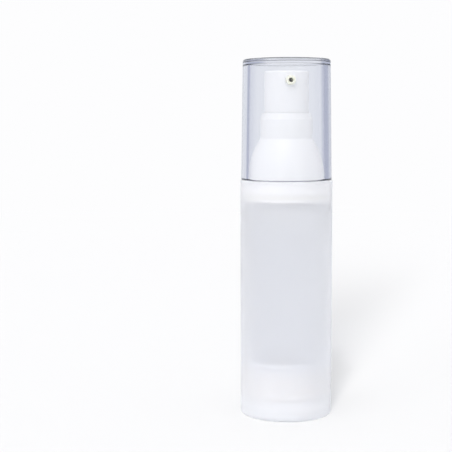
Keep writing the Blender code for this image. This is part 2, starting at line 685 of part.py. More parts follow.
def build_outlet_valve(material, collection, cutters):
    """The soft slit valve behind the nozzle: a thimble whose closed end is slit."""
    length = OUTLET_VALVE_LENGTH - GAP
    inner = OUTLET_VALVE_RADIUS - OUTLET_VALVE_WALL
    profile = [(0.0, length), (inner, length), (OUTLET_VALVE_RADIUS, length / 2), (OUTLET_VALVE_RADIUS, 0.0)]
    profile += [(inner, 0.0), (inner, length - 2 * OUTLET_VALVE_WALL), (0.0, length - OUTLET_VALVE_WALL)]
    valve = turned("outlet_valve", profile, 0.0, COARSE, material, collection, ring=False)
    location = (0.0, -ACTUATOR_RADIUS + NOZZLE_SEAT + OUTLET_VALVE_LENGTH - GAP, nozzle_z)
    valve.rotation_euler = (math.pi / 2, 0.0, 0.0)
    valve.location = location
    tip_y = location[1] - length
    slit_depth = 2 * OUTLET_VALVE_WALL
    mesh = box_mesh("valve_slit", 2 * (inner - GAP), 2 * slit_depth, OUTLET_SLIT)
    slit = as_cutter("valve_slit", mesh, (0.0, tip_y, nozzle_z), (0.0, 0.0, 0.0), cutters)
    apply_boolean(valve, slit, "DIFFERENCE")
    return valve


def build_overcap(material, collection):
    """The clear cap: drafted wall, flat ceiling, rounded top edge and a lead-in at the foot of the bore."""
    bore_foot = cap_foot_radius - CAP_WALL
    bore_top = cap_top_radius - CAP_WALL
    corner = arc(cap_top_radius - CAP_CORNER, cap_top_z - CAP_CORNER, CAP_CORNER, 90, 0, 3)
    profile = [(0.0, cap_top_z)] + corner
    profile += [(cap_foot_radius, cap_foot_z), (bore_foot + CAP_LEAD_IN, cap_foot_z)]
    profile += [(bore_foot, cap_foot_z + CAP_LEAD_IN_HEIGHT), (bore_top, ceiling_z), (0.0, ceiling_z)]
    return turned("overcap", profile, cap_foot_z, FINE, material, collection, ring=False)


def main():
    """Build every piece of the bottle."""
    clear_scene()
    parts = new_collection("pump_bottle")
    cutters = new_collection("pump_bottle_cutters")

    frosted = make_material("frosted_acrylic", "DEE2E9", 0.55, transmission=0.6)
    clear = make_material("clear_styrenic", "D9DCF0", 0.05, transmission=0.95)
    white = make_material("white_polypropylene", "F6F7F8", 0.35)
    natural = make_material("natural_polyethylene", "F0F0EE", 0.5)
    ivory = make_material("ivory_acetal", "F1EFD8", 0.4)
    soft = make_material("grey_elastomer", "D8D8D4", 0.7)
    steel = make_material("spring_steel", "B8BABD", 0.3, metallic=1.0)

    build_bottle(frosted, parts)
    build_base_plug(white, parts)
    follower = build_follower(natural, parts)
    build_collar(white, parts)
    build_mouth_seal(soft, parts)
    build_flange_gasket(soft, parts)
    build_retaining_ring(white, parts)
    build_housing(white, parts)
    build_ball_cage(white, parts, cutters)
    ball = build_inlet_ball(steel, parts)
    build_turret(white, parts)
    build_stem_seal(soft, parts)
    build_spring(steel, parts)

    piston = build_piston(natural, parts)
    rod = build_rod(white, parts, cutters)
    stem = build_stem(white, parts)
    button = build_actuator(white, parts, cutters)
    nozzle = build_nozzle(ivory, parts)
    valve = build_outlet_valve(soft, parts, cutters)
    cap = build_overcap(clear, parts)

    groups = {
        "overcap_lift": (cap,),
        "actuator_press": (rod, stem),
        "head_spin": (button, nozzle, valve),
        "piston_shift": (piston,),
        "follower_rise": (follower,),
        "ball_rise": (ball,),
    }
    axes = {}
    for name, pieces in groups.items():
        axes[name] = make_empty(name, (0.0, 0.0, pieces[0].location.z), parts)
        for piece in pieces:
            put_under(piece, axes[name])
    put_under(axes["head_spin"], axes["actuator_press"])
    put_under(axes["piston_shift"], axes["actuator_press"])


main()
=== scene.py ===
"""Airless pump bottle for lotion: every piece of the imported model, made finely and dressed.

All sizes in the classes are millimetres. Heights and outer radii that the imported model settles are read
from its nodes' boxes, so each new piece stands exactly where its CAD node stands.
"""

import logging
import math
from dataclasses import dataclass, replace
from enum import Enum, IntEnum

import bmesh
import bpy
import numpy as np
from bpy.types import Material, Node, NodeSocket, NodeTree, Object
from mathutils import Matrix, Vector


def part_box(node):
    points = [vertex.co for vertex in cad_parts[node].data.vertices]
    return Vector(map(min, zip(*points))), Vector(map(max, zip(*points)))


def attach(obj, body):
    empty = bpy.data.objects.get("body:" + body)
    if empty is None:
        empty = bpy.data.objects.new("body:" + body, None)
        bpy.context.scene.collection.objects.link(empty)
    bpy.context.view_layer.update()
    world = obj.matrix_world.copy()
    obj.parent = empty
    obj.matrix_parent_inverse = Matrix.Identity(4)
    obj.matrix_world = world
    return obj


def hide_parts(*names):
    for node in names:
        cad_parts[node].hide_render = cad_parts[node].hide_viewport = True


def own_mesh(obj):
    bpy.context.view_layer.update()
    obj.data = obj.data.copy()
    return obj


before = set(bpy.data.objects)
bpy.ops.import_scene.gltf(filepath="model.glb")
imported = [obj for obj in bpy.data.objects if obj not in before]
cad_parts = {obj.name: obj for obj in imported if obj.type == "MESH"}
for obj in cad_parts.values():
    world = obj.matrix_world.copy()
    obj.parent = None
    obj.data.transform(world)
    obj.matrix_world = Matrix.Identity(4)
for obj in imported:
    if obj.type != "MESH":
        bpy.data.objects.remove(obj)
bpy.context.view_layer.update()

MM = 0.001
GAP = 0.3  # clearance between pieces that fit into one another, mm
FILLET_STEPS = 5
FILLET_SHARE = 0.45  # most of a profile's side that one fillet may take
SUPPORT = 0.06  # distance of the loop that keeps smooth shading off the flats beside a fillet, mm
SUPPORT_SHARE = 0.04  # most of a side that this distance may take
STRAIGHT = 0.9999  # cosine beyond which two sides count as lying in one line
TINY = 1e-9  # keeps a divisor from being zero
SEPARATION = 1e-4  # points closer than this are one, mm
CREASE = math.radians(42)  # faces that meet at more than this keep a crisp edge
FACTOR, COLOUR_A, COLOUR_B = 0, 6, 7  # places of a colour mix's inputs, whose names repeat
MIXED = 2  # place of its output
SKIRT_LIGHT_FADE = 5.5  # height under the tube's rim over which the collar's skirt turns whiter with painted light, mm
LIP_SHADE_FADE = 8.0  # height under its top over which the follower piston darkens with painted shade, mm
SEAT_SHADE_HEIGHT = 0.12  # height over which the cap's foot is painted dark, a painted shade for the contact shadow on the tube's rim, mm
NOISE_SPAN = {"From Min": 0.3, "From Max": 0.7}  # nearly all of a noise lies between these

Corner = tuple[float, ...]
Point = tuple[float, float, float]

log = logging.getLogger("pump_bottle")


class Axis(Enum):
    """Direction about which a piece is turned, by its place among x, y and z."""

    ACROSS = 0
    FORWARD = 1
    UP = 2


class Round(IntEnum):
    """Faces round a turned piece."""

    CAP = 160  # the clear cap, which bends what is seen through it
    SHOWN = 128
    INNER = 72
    NOZZLE = 64
    SMALL = 48
    PORT = 24
    WIRE = 12


class Slot(Enum):
    """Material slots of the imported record."""

    FROSTED = "frosted_bottle"
    CLEAR = "clear_plastic"
    WHITE = "white_plastic"
    NATURAL = "natural_plastic"
    IVORY = "ivory_plastic"
    SEAL = "soft_seal"
    STEEL = "steel"


# Shapes


@dataclass(frozen=True)
class Surface:
    """Points in millimetres and four corners for each face, a triangle's last corner being a repeat."""

    points: np.ndarray
    corners: np.ndarray


@dataclass(frozen=True)
class Extent:
    """Foot, top and outer radius of a turned CAD node, in millimetres."""

    foot: float
    top: float
    radius: float

    @classmethod
    def of(cls, node: str, axis: Axis = Axis.UP) -> "Extent":
        """Read the extent along an axis from a node's box. Forward, its foot is in front."""
        low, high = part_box(node)
        return cls(low[axis.value] / MM, high[axis.value] / MM, high.x / MM)


def rounded_profile(corners: list[Corner], ring: bool = True) -> np.ndarray:
    """Replace each corner of a profile with a fillet.

    The fillet is the arc of the wanted radius that touches both sides of the corner. It begins at
    radius / tan(half the corner's angle) from the corner, and its centre lies on the bisector at
    radius / sin(half the angle). A loop is added just outside each end of the arc.

    Args:
        corners: (radius, height) or (radius, height, fillet) for each corner, in order.
        ring: whether the last corner joins the first. An open profile starts and ends on the axis.

    Returns:
        An array of (radius, height) points.
    """
    table = np.array([(corner + (0.0,))[:3] for corner in corners])
    spot = table[:, :2]
    before = np.roll(spot, 1, axis=0) - spot
    after = np.roll(spot, -1, axis=0) - spot
    room = np.minimum(np.hypot(*before.T), np.hypot(*after.T))
    u = before / np.hypot(*before.T)[:, None]
    v = after / np.hypot(*after.T)[:, None]
    half = np.arccos(np.clip((u * v).sum(axis=1), -STRAIGHT, STRAIGHT)) / 2
    reach = np.minimum(table[:, 2] / np.tan(half), FILLET_SHARE * room)
    radius = reach * np.tan(half)
    bisector = (u + v) / np.maximum(np.hypot(*(u + v).T), TINY)[:, None]
    centre = spot + bisector * (radius / np.sin(half))[:, None]
    start = spot + u * reach[:, None] - centre
    turn = np.sign(u[:, 1] * v[:, 0] - u[:, 0] * v[:, 1])
    angle = (turn * (math.pi - 2 * half))[:, None] * np.linspace(0, 1, FILLET_STEPS + 1)
    x = start[:, :1] * np.cos(angle) - start[:, 1:] * np.sin(angle)
    y = start[:, :1] * np.sin(angle) + start[:, 1:] * np.cos(angle)
    arcs = np.stack([x, y], axis=-1) + centre[:, None]
    loop = np.where(reach > 0, np.minimum(SUPPORT, SUPPORT_SHARE * room), 0.0)
    first, last = ((spot + side * (reach + loop)[:, None])[:, None] for side in (u, v))
    runs = np.concatenate([first, arcs, last], axis=1)
    if not ring:
        runs[0], runs[-1] = spot[0], spot[-1]
    points = runs.reshape(-1, 2)
    following = np.roll(points, -1, axis=0)
    keep = np.hypot(*(points - following).T) > SEPARATION
    if not ring:
        keep[-1] = True
    return points[keep]


def grid_surface(points: np.ndarray, ring: bool) -> Surface:
    """Join a grid of points into a surface whose faces point outwards.

    Rows run along the profile and columns close round the piece. A row whose points coincide is a
    pole, and is drawn together into one point. The signed volume, the sum over the faces of their
    corners' triple product, is negative on a surface that is inside out, which is then turned round.

    Args:
        points: array of rows x columns x 3.
        ring: whether the last row joins the first.

    Returns:
        The surface.
    """
    rows, columns = points.shape[:2]
    index = np.arange(rows * columns).reshape(rows, columns)
    pole = np.ptp(points, axis=1).max(axis=1) < SEPARATION
    index[pole] = index[pole, :1]
    lower = index if ring else index[:-1]
    upper = np.roll(index, -1, axis=0) if ring else index[1:]
    quads = np.stack([lower, upper, np.roll(upper, -1, axis=1), np.roll(lower, -1, axis=1)], axis=-1)
    quads = quads.reshape(-1, 4)
    above, below = quads[:, 1] == quads[:, 2], quads[:, 0] == quads[:, 3]
    quads[above] = np.roll(quads[above], 1, axis=1)
    quads[below] = np.roll(quads[below], -1, axis=1)
    used, quads = np.unique(quads, return_inverse=True)
    quads = quads.reshape(-1, 4)
    points = points.reshape(-1, 3)[used]
    a, b, c, d = (points[quads[:, corner]] for corner in range(4))
    volume = (np.cross(a, b) * c).sum() + (np.cross(a, c) * d).sum()
    return Surface(points, quads if volume > 0 else quads[:, [1, 0, 3, 2]])


def turned_surface(
    profile: np.ndarray,
    segments: int,
    ring: bool = True,
    axis: Axis = Axis.UP,
    origin: Point = (0.0, 0.0, 0.0),
) -> Surface:
    """Turn a profile about an axis.

    A point (r, h) of the profile becomes the circle (r cos a, r sin a, h) for a from 0 to a full turn.
    About the forward axis the same circle is laid down as (r cos a, -h, r sin a), and about the one
    across as (-h, -r cos a, r sin a).

    Args:
        profile: (radius, height) points.
        segments: points round the circle.
        ring: whether the profile closes on itself, or starts and ends on the axis.
        axis: direction of the profile's height.
        origin: place of the profile's origin.

    Returns:
        The closed surface.
    """
    angle = np.linspace(0.0, 2 * math.pi, segments, endpoint=False)
    x, y = profile[:, :1] * np.cos(angle), profile[:, :1] * np.sin(angle)
    along = np.broadcast_to(profile[:, 1:], x.shape)
    grids = {Axis.UP: (x, y, along), Axis.FORWARD: (x, -along, y), Axis.ACROSS: (-along, -x, y)}
    return grid_surface(np.stack(grids[axis], axis=-1) + np.array(origin), ring)


def wire_surface(centres: np.ndarray, outward: np.ndarray, radius: float, sides: int) -> Surface:
    """Carry a circle along a line, with a hemisphere at each end.

    The circle at each point of the line lies in the plane of the outward direction and of the
    direction at right angles to it and to the line. The ends go on along the line by r sin(t), where
    the circle has shrunk to r cos(t), for t from 0 to a quarter turn.

    Args:
        centres: points of the line, in millimetres.
        outward: a direction across the line at each point.
        radius: the wire's radius.
        sides: points round the circle.

    Returns:
        The closed surface.
    """
    along = np.gradient(centres, axis=0)
    along /= np.linalg.norm(along, axis=1)[:, None]
    outward = outward - (outward * along).sum(axis=1)[:, None] * along
    outward /= np.linalg.norm(outward, axis=1)[:, None]
    sideways = np.cross(along, outward)
    t = np.linspace(math.pi / 2, 0.0, FILLET_STEPS + 1)[:-1]
    count = len(centres)
    sizes = radius * np.concatenate([np.cos(t), np.ones(count), np.cos(t[::-1])])
    shift = radius * np.concatenate([-np.sin(t), np.zeros(count), np.sin(t[::-1])])
    rows = np.clip(np.arange(-len(t), count + len(t)), 0, count - 1)
    angle = np.linspace(0.0, 2 * math.pi, sides, endpoint=False)[:, None]
    middle = centres[rows] + along[rows] * shift[:, None]
    circle = outward[rows][:, None] * np.cos(angle) + sideways[rows][:, None] * np.sin(angle)
    return grid_surface(middle[:, None] + circle * sizes[:, None, None], ring=False)


def linked(name: str, data: bpy.types.ID) -> Object:
    """An object in the scene that holds the data."""
    item = bpy.data.objects.new(name, data)
    bpy.context.scene.collection.objects.link(item)
    return item


def mesh_object(name: str, surface: Surface) -> Object:
    """Make an object at the origin from a surface.

    Args:
        name: name of the object.
        surface: its points in millimetres and its faces.

    Returns:
        The linked object, smooth but for its creases.
    """
    kept = np.ones(surface.corners.shape, bool)
    kept[:, 3] = surface.corners[:, 3] != surface.corners[:, 2]
    totals = kept.sum(axis=1)
    mesh = bpy.data.meshes.new(name)
    mesh.vertices.add(len(surface.points))
    mesh.vertices.foreach_set("co", (surface.points * MM).astype(np.float32).ravel())
    mesh.loops.add(int(totals.sum()))
    mesh.loops.foreach_set("vertex_index", surface.corners[kept].astype(np.int32))
    mesh.polygons.add(len(totals))
    mesh.polygons.foreach_set("loop_start", (np.cumsum(totals) - totals).astype(np.int32))
    mesh.update(calc_edges=True)
    mesh.validate()
    piece = linked(name, mesh)
    crease(piece)
    return piece


def turned_piece(name: str, corners: list[Corner], segments: int = Round.SHOWN, **turning: object) -> Object:
    """Round a profile's corners, turn it and make the piece.

    Args:
        name: name of the piece.
        corners: the profile's corners, as rounded_profile takes them.
        segments: faces round the piece.
        turning: ring, axis and origin, as turned_surface takes them.

    Returns:
        The linked piece.
    """
    profile = rounded_profile(corners, turning.get("ring", True))
    return mesh_object(name, turned_surface(profile, segments, **turning))


def band(name: str, node: str, inner: float, fillets: Corner, segments: int = Round.SHOWN) -> Object:
    """Make a plain band with rounded edges.

    Args:
        name: name of the piece.
        node: the CAD node whose height and outer radius it takes.
        inner: its inner radius.
        fillets: rounding of its edges: inner top, outer top, outer foot and inner foot.
        segments: faces round the piece.

    Returns:
        The linked piece.
    """
    size = Extent.of(node)
    edges = [(inner, size.top), (size.radius, size.top), (size.radius, size.foot), (inner, size.foot)]
    return turned_piece(name, [(*edge, fillet) for edge, fillet in zip(edges, fillets)], segments)


def snap_ridge(radius: float, middle: float, half: float, reach: float) -> list[Corner]:
    """Three corners of a rounded snap bead, or of the groove for it, from foot to top."""
    return [(radius, middle - half, 0.25), (radius + reach, middle, 0.3), (radius, middle + half, 0.25)]


def crease(piece: Object) -> None:
    """Shade a piece smooth, with its sharp corners kept."""
    piece.data.shade_smooth()
    piece.data.set_sharp_from_angle(angle=CREASE)


def combine(piece: Object, others: list[Object], operation: str) -> None:
    """Join other solids to a piece or cut them out of it, and remove them.

    Args:
        piece: the piece whose mesh is changed.
        others: the solids, at the origin.
        operation: Blender's name of the operation, UNION or DIFFERENCE.
    """
    for other in others:
        change = piece.modifiers.new(other.name, "BOOLEAN")
        change.operation = operation
        change.solver = "EXACT"
        change.object = other
    bpy.context.view_layer.update()
    shape = piece.evaluated_get(bpy.context.evaluated_depsgraph_get())
    mesh = bpy.data.meshes.new_from_object(shape)
    piece.modifiers.clear()
    old, piece.data = piece.data, mesh
    bpy.data.meshes.remove(old)
    mesh.name = piece.name
    for other in others:
        bpy.data.meshes.remove(other.data)
    crease(piece)


def block(name: str, size: Point, middle: Point) -> Object:
    """Make a block to cut with.

    Args:
        name: name of the block.
        size: its length along x, y and z, in millimetres.
        middle: place of its centre, in millimetres.

    Returns:
        The linked block.
    """
    mesh = bpy.data.meshes.new(name)
    shape = bmesh.new()
    place = Matrix.Translation(Vector(middle) * MM) @ Matrix.Diagonal((*(Vector(size) * MM), 1.0))
    bmesh.ops.create_cube(shape, size=1.0, matrix=place)
    shape.to_mesh(mesh)
    shape.free()
    return linked(name, mesh)


# Finishes


def linear(hex_colour: str) -> tuple[float, float, float, float]:
    """Turn an sRGB hex colour into linear RGBA."""
    share = np.array([int(hex_colour[place : place + 2], 16) for place in (0, 2, 4)]) / 255
    value = np.where(share <= 0.04045, share / 12.92, ((share + 0.055) / 1.055) ** 2.4)
    return (*value.tolist(), 1.0)


def add_node(tree: NodeTree, kind: str, inputs: dict | None = None, **settings: object) -> Node:
    """Add a node with its settings, and with a constant or a link for each socket that is named.

    Args:
        tree: the tree to add to.
        kind: Blender's name of the node, after its leading ShaderNode.
        inputs: by the socket's name or place, its constant, the output that feeds it, or the node whose
            first output does.
        settings: the node's own properties.

    Returns:
        The node.
    """
    node = tree.nodes.new("ShaderNode" + kind)
    for key, value in settings.items():
        setattr(node, key, value)
    for key, value in (inputs or {}).items():
        source = value.outputs[0] if isinstance(value, Node) else value
        if isinstance(source, NodeSocket):
            tree.links.new(source, node.inputs[key])
        else:
            node.inputs[key].default_value = source
    return node


def start_material(name: str) -> tuple[Material, NodeTree, NodeSocket]:
    """Start a material.

    Args:
        name: name of the material.

    Returns:
        The material, its tree and the one output there yet, that of the Object coordinates.
    """
    material = bpy.data.materials.new(name)
    material.use_nodes = True
    material.node_tree.nodes.clear()
    place = add_node(material.node_tree, "TexCoord").outputs["Object"]
    return material, material.node_tree, place


def slant_tint(tree: NodeTree, stops: tuple[tuple[float, str], ...]) -> Node:
    """Tint a surface by its slant to the line of sight.

    Args:
        tree: the tree to add to.
        stops: place and sRGB hex colour of each stop, in order, from seen straight on to seen edge-on.

    Returns:
        The node that gives the colour.
    """
    slant = add_node(tree, "LayerWeight", {"Blend": 0.5}).outputs["Facing"]
    tint = add_node(tree, "ValToRGB", {0: slant})
    elements = tint.color_ramp.elements
    while len(elements) < len(stops):
        elements.new(0.5)
    for element, (place, colour) in zip(elements, stops):
        element.position = place
        element.color = linear(colour)
    return tint


def lamp_passing(tree: NodeTree, glass: Node, passed: tuple[float, ...] | NodeSocket) -> Node:
    """Finish a clear material so that lamps and soft light reach what stands behind it.

    Args:
        tree: the material's tree.
        glass: the shader that the camera sees.
        passed: what one surface lets through of a lamp's light, as a colour or the output that gives it.

    Returns:
        The output node.
    """
    path = add_node(tree, "LightPath").outputs
    lamp = add_node(tree, "BsdfTransparent", {"Color": passed})
    shaded = add_node(tree, "MixShader", {0: path["Is Shadow Ray"], 1: glass, 2: lamp})
    fill = add_node(tree, "BsdfTransparent", {"Color": linear("FFFFFF")})
    mix = add_node(tree, "MixShader", {0: path["Is Diffuse Ray"], 1: shaded, 2: fill})
    return add_node(tree, "OutputMaterial", {"Surface": mix})


@dataclass(frozen=True)
class MouldedPlastic:
    """Injection-moulded plastic: a semi-gloss skin that is never quite flat or quite one tone."""

    name: str
    light: str
    dark: str
    gloss: tuple[float, float]
    ior: float
    peel: float  # width of the orange peel, mm
    peel_depth: float
    flow: float  # width of the slow changes where the melt ran, mm
    subsurface: float = 0.0
    grain: float = 0.0  # width of a fine matt grain, mm, or 0 for none
    grain_depth: float = 0.02
    painted_end_tone: str = ""  # painted tone that the piece takes on towards one end: painted light on the collar's skirt, painted shade on the follower's lip
    end_from: float = 0.0  # height where that change begins, mm
    end_to: float = 0.0  # height where it is complete, mm

    def material(self) -> Material:
        """Build the node material.

        Returns:
            The material, whose tone and gloss drift over some millimetres, under a fine orange peel.
        """
        material, tree, place = start_material(self.name)
        flow = add_node(tree, "TexNoise", {
            "Scale": 1 / (self.flow * MM), "Detail": 3.0, "Roughness": 0.5, "Vector": place,
        })
        peel = add_node(tree, "TexNoise", {
            "Scale": 1 / (self.peel * MM), "Detail": 2.0, "Roughness": 0.45, "Vector": place,
        })
        colours = {COLOUR_A: linear(self.dark), COLOUR_B: linear(self.light)}
        tone = add_node(tree, "Mix", {FACTOR: flow, **colours}, data_type="RGBA").outputs[MIXED]
        # Painted light and shade: the tone changes with height towards one end
        if self.painted_end_tone:
            height = add_node(tree, "SeparateXYZ", {0: place}).outputs["Z"]
            span = {"From Min": self.end_from * MM, "From Max": self.end_to * MM}
            change = add_node(tree, "MapRange", {**span, "Value": height}, interpolation_type="SMOOTHSTEP")
            colours = {COLOUR_A: tone, COLOUR_B: linear(self.painted_end_tone)}
            tone = add_node(tree, "Mix", {FACTOR: change, **colours}, data_type="RGBA").outputs[MIXED]
        low, high = self.gloss
        rough = add_node(tree, "MapRange", {**NOISE_SPAN, "To Min": low, "To Max": high, "Value": flow})
        bump = add_node(tree, "Bump", {"Strength": 0.35, "Distance": self.peel_depth * MM, "Height": peel})
        if self.grain:
            grain = add_node(tree, "TexNoise", {
                "Scale": 1 / (self.grain * MM), "Detail": 4.0, "Roughness": 0.6, "Vector": place,
            })
            bump = add_node(tree, "Bump", {
                "Strength": 0.5, "Distance": self.grain_depth * MM, "Height": grain, "Normal": bump,
            })
        shader = add_node(tree, "BsdfPrincipled", {
            "Base Color": tone, "Roughness": rough, "Normal": bump, "IOR": self.ior,
            "Subsurface Weight": self.subsurface, "Subsurface Radius": (1.0, 0.95, 0.9),
            "Subsurface Scale": 1.2 * MM,
        })
        add_node(tree, "OutputMaterial", {"Surface": shader})
        return material


@dataclass(frozen=True)
class ClearStyrenic:
    """Polished clear styrenic: bright, with a faint violet tint that shows where it is thick or edge-on."""

    seat: float  # height up to which the foot is painted dark, a painted shade for the contact shadow on the rim that it stands on, mm
    name: str = "clear_styrenic"
    tints: tuple[tuple[float, str], ...] = ((0.0, "FFFFFF"), (0.6, "FCFCFE"), (1.0, "F2F3F9"))
    gloss: tuple[float, float] = (0.015, 0.06)
    ior: float = 1.57
    wave: float = 6.0  # width of the waves, mm
    wave_depth: float = 0.03
    scuff: float = 0.35  # width of the finest rubbed marks, mm
    pass_tint: str = "FCFCFD"
    absorption: str = "9EA5C8"
    density: float = 2.0  # per metre
    # colour of the painted shade along the foot
    seat_shade_tone: str = "6E6F7C"

    def material(self) -> Material:
        """Build the node material.

        Returns:
            Glass that lets the lamps' light through to what it covers.
        """
        material, tree, place = start_material(self.name)
        wave = add_node(tree, "TexNoise", {"Scale": 1 / (self.wave * MM), "Detail": 1.0, "Vector": place})
        scuff = add_node(tree, "TexNoise", {
            "Scale": 1 / (self.scuff * MM), "Detail": 3.0, "Roughness": 0.6, "Vector": place,
        })
        low, high = self.gloss
        rough = add_node(tree, "MapRange", {
            "From Min": 0.45, "From Max": 0.8, "To Min": low, "To Max": high, "Value": scuff,
        })
        bump = add_node(tree, "Bump", {"Strength": 0.25, "Distance": self.wave_depth * MM, "Height": wave})
        # Painted shade: below the seat height the tint turns dark, standing in for the contact shadow between
        # the cap's foot and the tube's rim
        height = add_node(tree, "SeparateXYZ", {0: place}).outputs["Z"]
        seat = add_node(tree, "Math", {0: height, 1: self.seat * MM}, operation="LESS_THAN")
        colours = {COLOUR_A: slant_tint(tree, self.tints), COLOUR_B: linear(self.seat_shade_tone)}
        tint = add_node(tree, "Mix", {FACTOR: seat, **colours}, data_type="RGBA").outputs[MIXED]
        glass = add_node(tree, "BsdfPrincipled", {
            "Base Color": tint, "Roughness": rough, "Normal": bump, "IOR": self.ior,
            "Transmission Weight": 1.0,
        })
        output = lamp_passing(tree, glass, linear(self.pass_tint))
        body = add_node(tree, "VolumeAbsorption", {"Color": linear(self.absorption), "Density": self.density})
        tree.links.new(body.outputs["Volume"], output.inputs["Volume"])
        return material


@dataclass(frozen=True)
class FrostedAcrylic:
    """Satin-frosted acrylic: an etched skin that glows with the light behind it and blurs what is inside."""

    name: str = "frosted_acrylic"
    tints: tuple[tuple[float, str], ...] = ((0.0, "FDFDFE"), (0.7, "FEFEFF"), (1.0, "F8F9FB"))
    outside: tuple[float, float] = (0.4, 0.48)
    inside: tuple[float, float] = (0.85, 0.92)
    bore: float = 16.2  # radius that parts the inside from the outside, mm
    ior: float = 1.49
    etch: float = 0.5  # width of the etched grain, mm; the real one is finer than the render can show
    etch_depth: float = 0.015
    cloud: float = 9.0  # width of the slow changes in the frosting, mm
    pass_tint: str = "D4D7DC"
    glow_reach: float = 6.0  # what lies nearer than this to the wall is lit by its glow, and not shaded, mm

    def material(self) -> Material:
        """Build the node material.

        Returns:
            Rough glass that lets part of the lamps' light through to what it covers.
        """
        material, tree, place = start_material(self.name)
        cloud = add_node(tree, "TexNoise", {"Scale": 1 / (self.cloud * MM), "Detail": 2.0, "Vector": place})
        etch = add_node(tree, "TexNoise", {
            "Scale": 1 / (self.etch * MM), "Detail": 4.0, "Roughness": 0.65, "Vector": place,
        })
        flat = add_node(tree, "VectorMath", {0: place, 1: (1.0, 1.0, 0.0)}, operation="MULTIPLY")
        radius = add_node(tree, "VectorMath", {0: flat}, operation="LENGTH").outputs["Value"]
        within = add_node(tree, "Math", {0: radius, 1: self.bore * MM}, operation="LESS_THAN")
        outside, inside = (
            add_node(tree, "MapRange", {**NOISE_SPAN, "To Min": low, "To Max": high, "Value": cloud})
            for low, high in (self.outside, self.inside)
        )
        rough = add_node(tree, "Mix", {0: within, 2: outside, 3: inside})
        bump = add_node(tree, "Bump", {"Strength": 0.3, "Distance": self.etch_depth * MM, "Height": etch})
        glass = add_node(tree, "BsdfPrincipled", {
            "Base Color": slant_tint(tree, self.tints), "Roughness": rough, "Normal": bump, "IOR": self.ior,
            "Transmission Weight": 0.94, "Sheen Weight": 0.22, "Sheen Roughness": 0.6,
        })
        length = add_node(tree, "LightPath").outputs["Ray Length"]
        touching = add_node(tree, "Math", {0: length, 1: self.glow_reach * MM}, operation="LESS_THAN")
        colours = {COLOUR_A: linear(self.pass_tint), COLOUR_B: linear("FFFFFF")}
        passed = add_node(tree, "Mix", {FACTOR: touching, **colours}, data_type="RGBA").outputs[MIXED]
        lamp_passing(tree, glass, passed)
        return material


@dataclass(frozen=True)
class DrawnSteel:
    """Stainless steel, drawn as wire or lapped as a ball: bright, with fine lines left by the tool."""

    name: str
    colour: str = "C4C6C8"
    roughness: tuple[float, float] = (0.22, 0.38)
    line: float = 0.12  # spacing of the drawing lines, mm, drawn coarser than real ones so that they show
    line_depth: float = 0.005
    stretch: Point = (1.0, 1.0, 0.08)

    def material(self) -> Material:
        """Build the node material.

        Returns:
            Metal whose gloss varies along fine lines.
        """
        material, tree, place = start_material(self.name)
        laid = add_node(tree, "Mapping", {"Scale": self.stretch, "Vector": place})
        lines = add_node(tree, "TexNoise", {"Scale": 1 / (self.line * MM), "Detail": 2.0, "Vector": laid})
        low, high = self.roughness
        rough = add_node(tree, "MapRange", {"To Min": low, "To Max": high, "Value": lines})
        bump = add_node(tree, "Bump", {"Strength": 0.2, "Distance": self.line_depth * MM, "Height": lines})
        shader = add_node(tree, "BsdfPrincipled", {
            "Base Color": linear(self.colour), "Metallic": 1.0, "Roughness": rough, "Normal": bump,
        })
        add_node(tree, "OutputMaterial", {"Surface": shader})
        return material


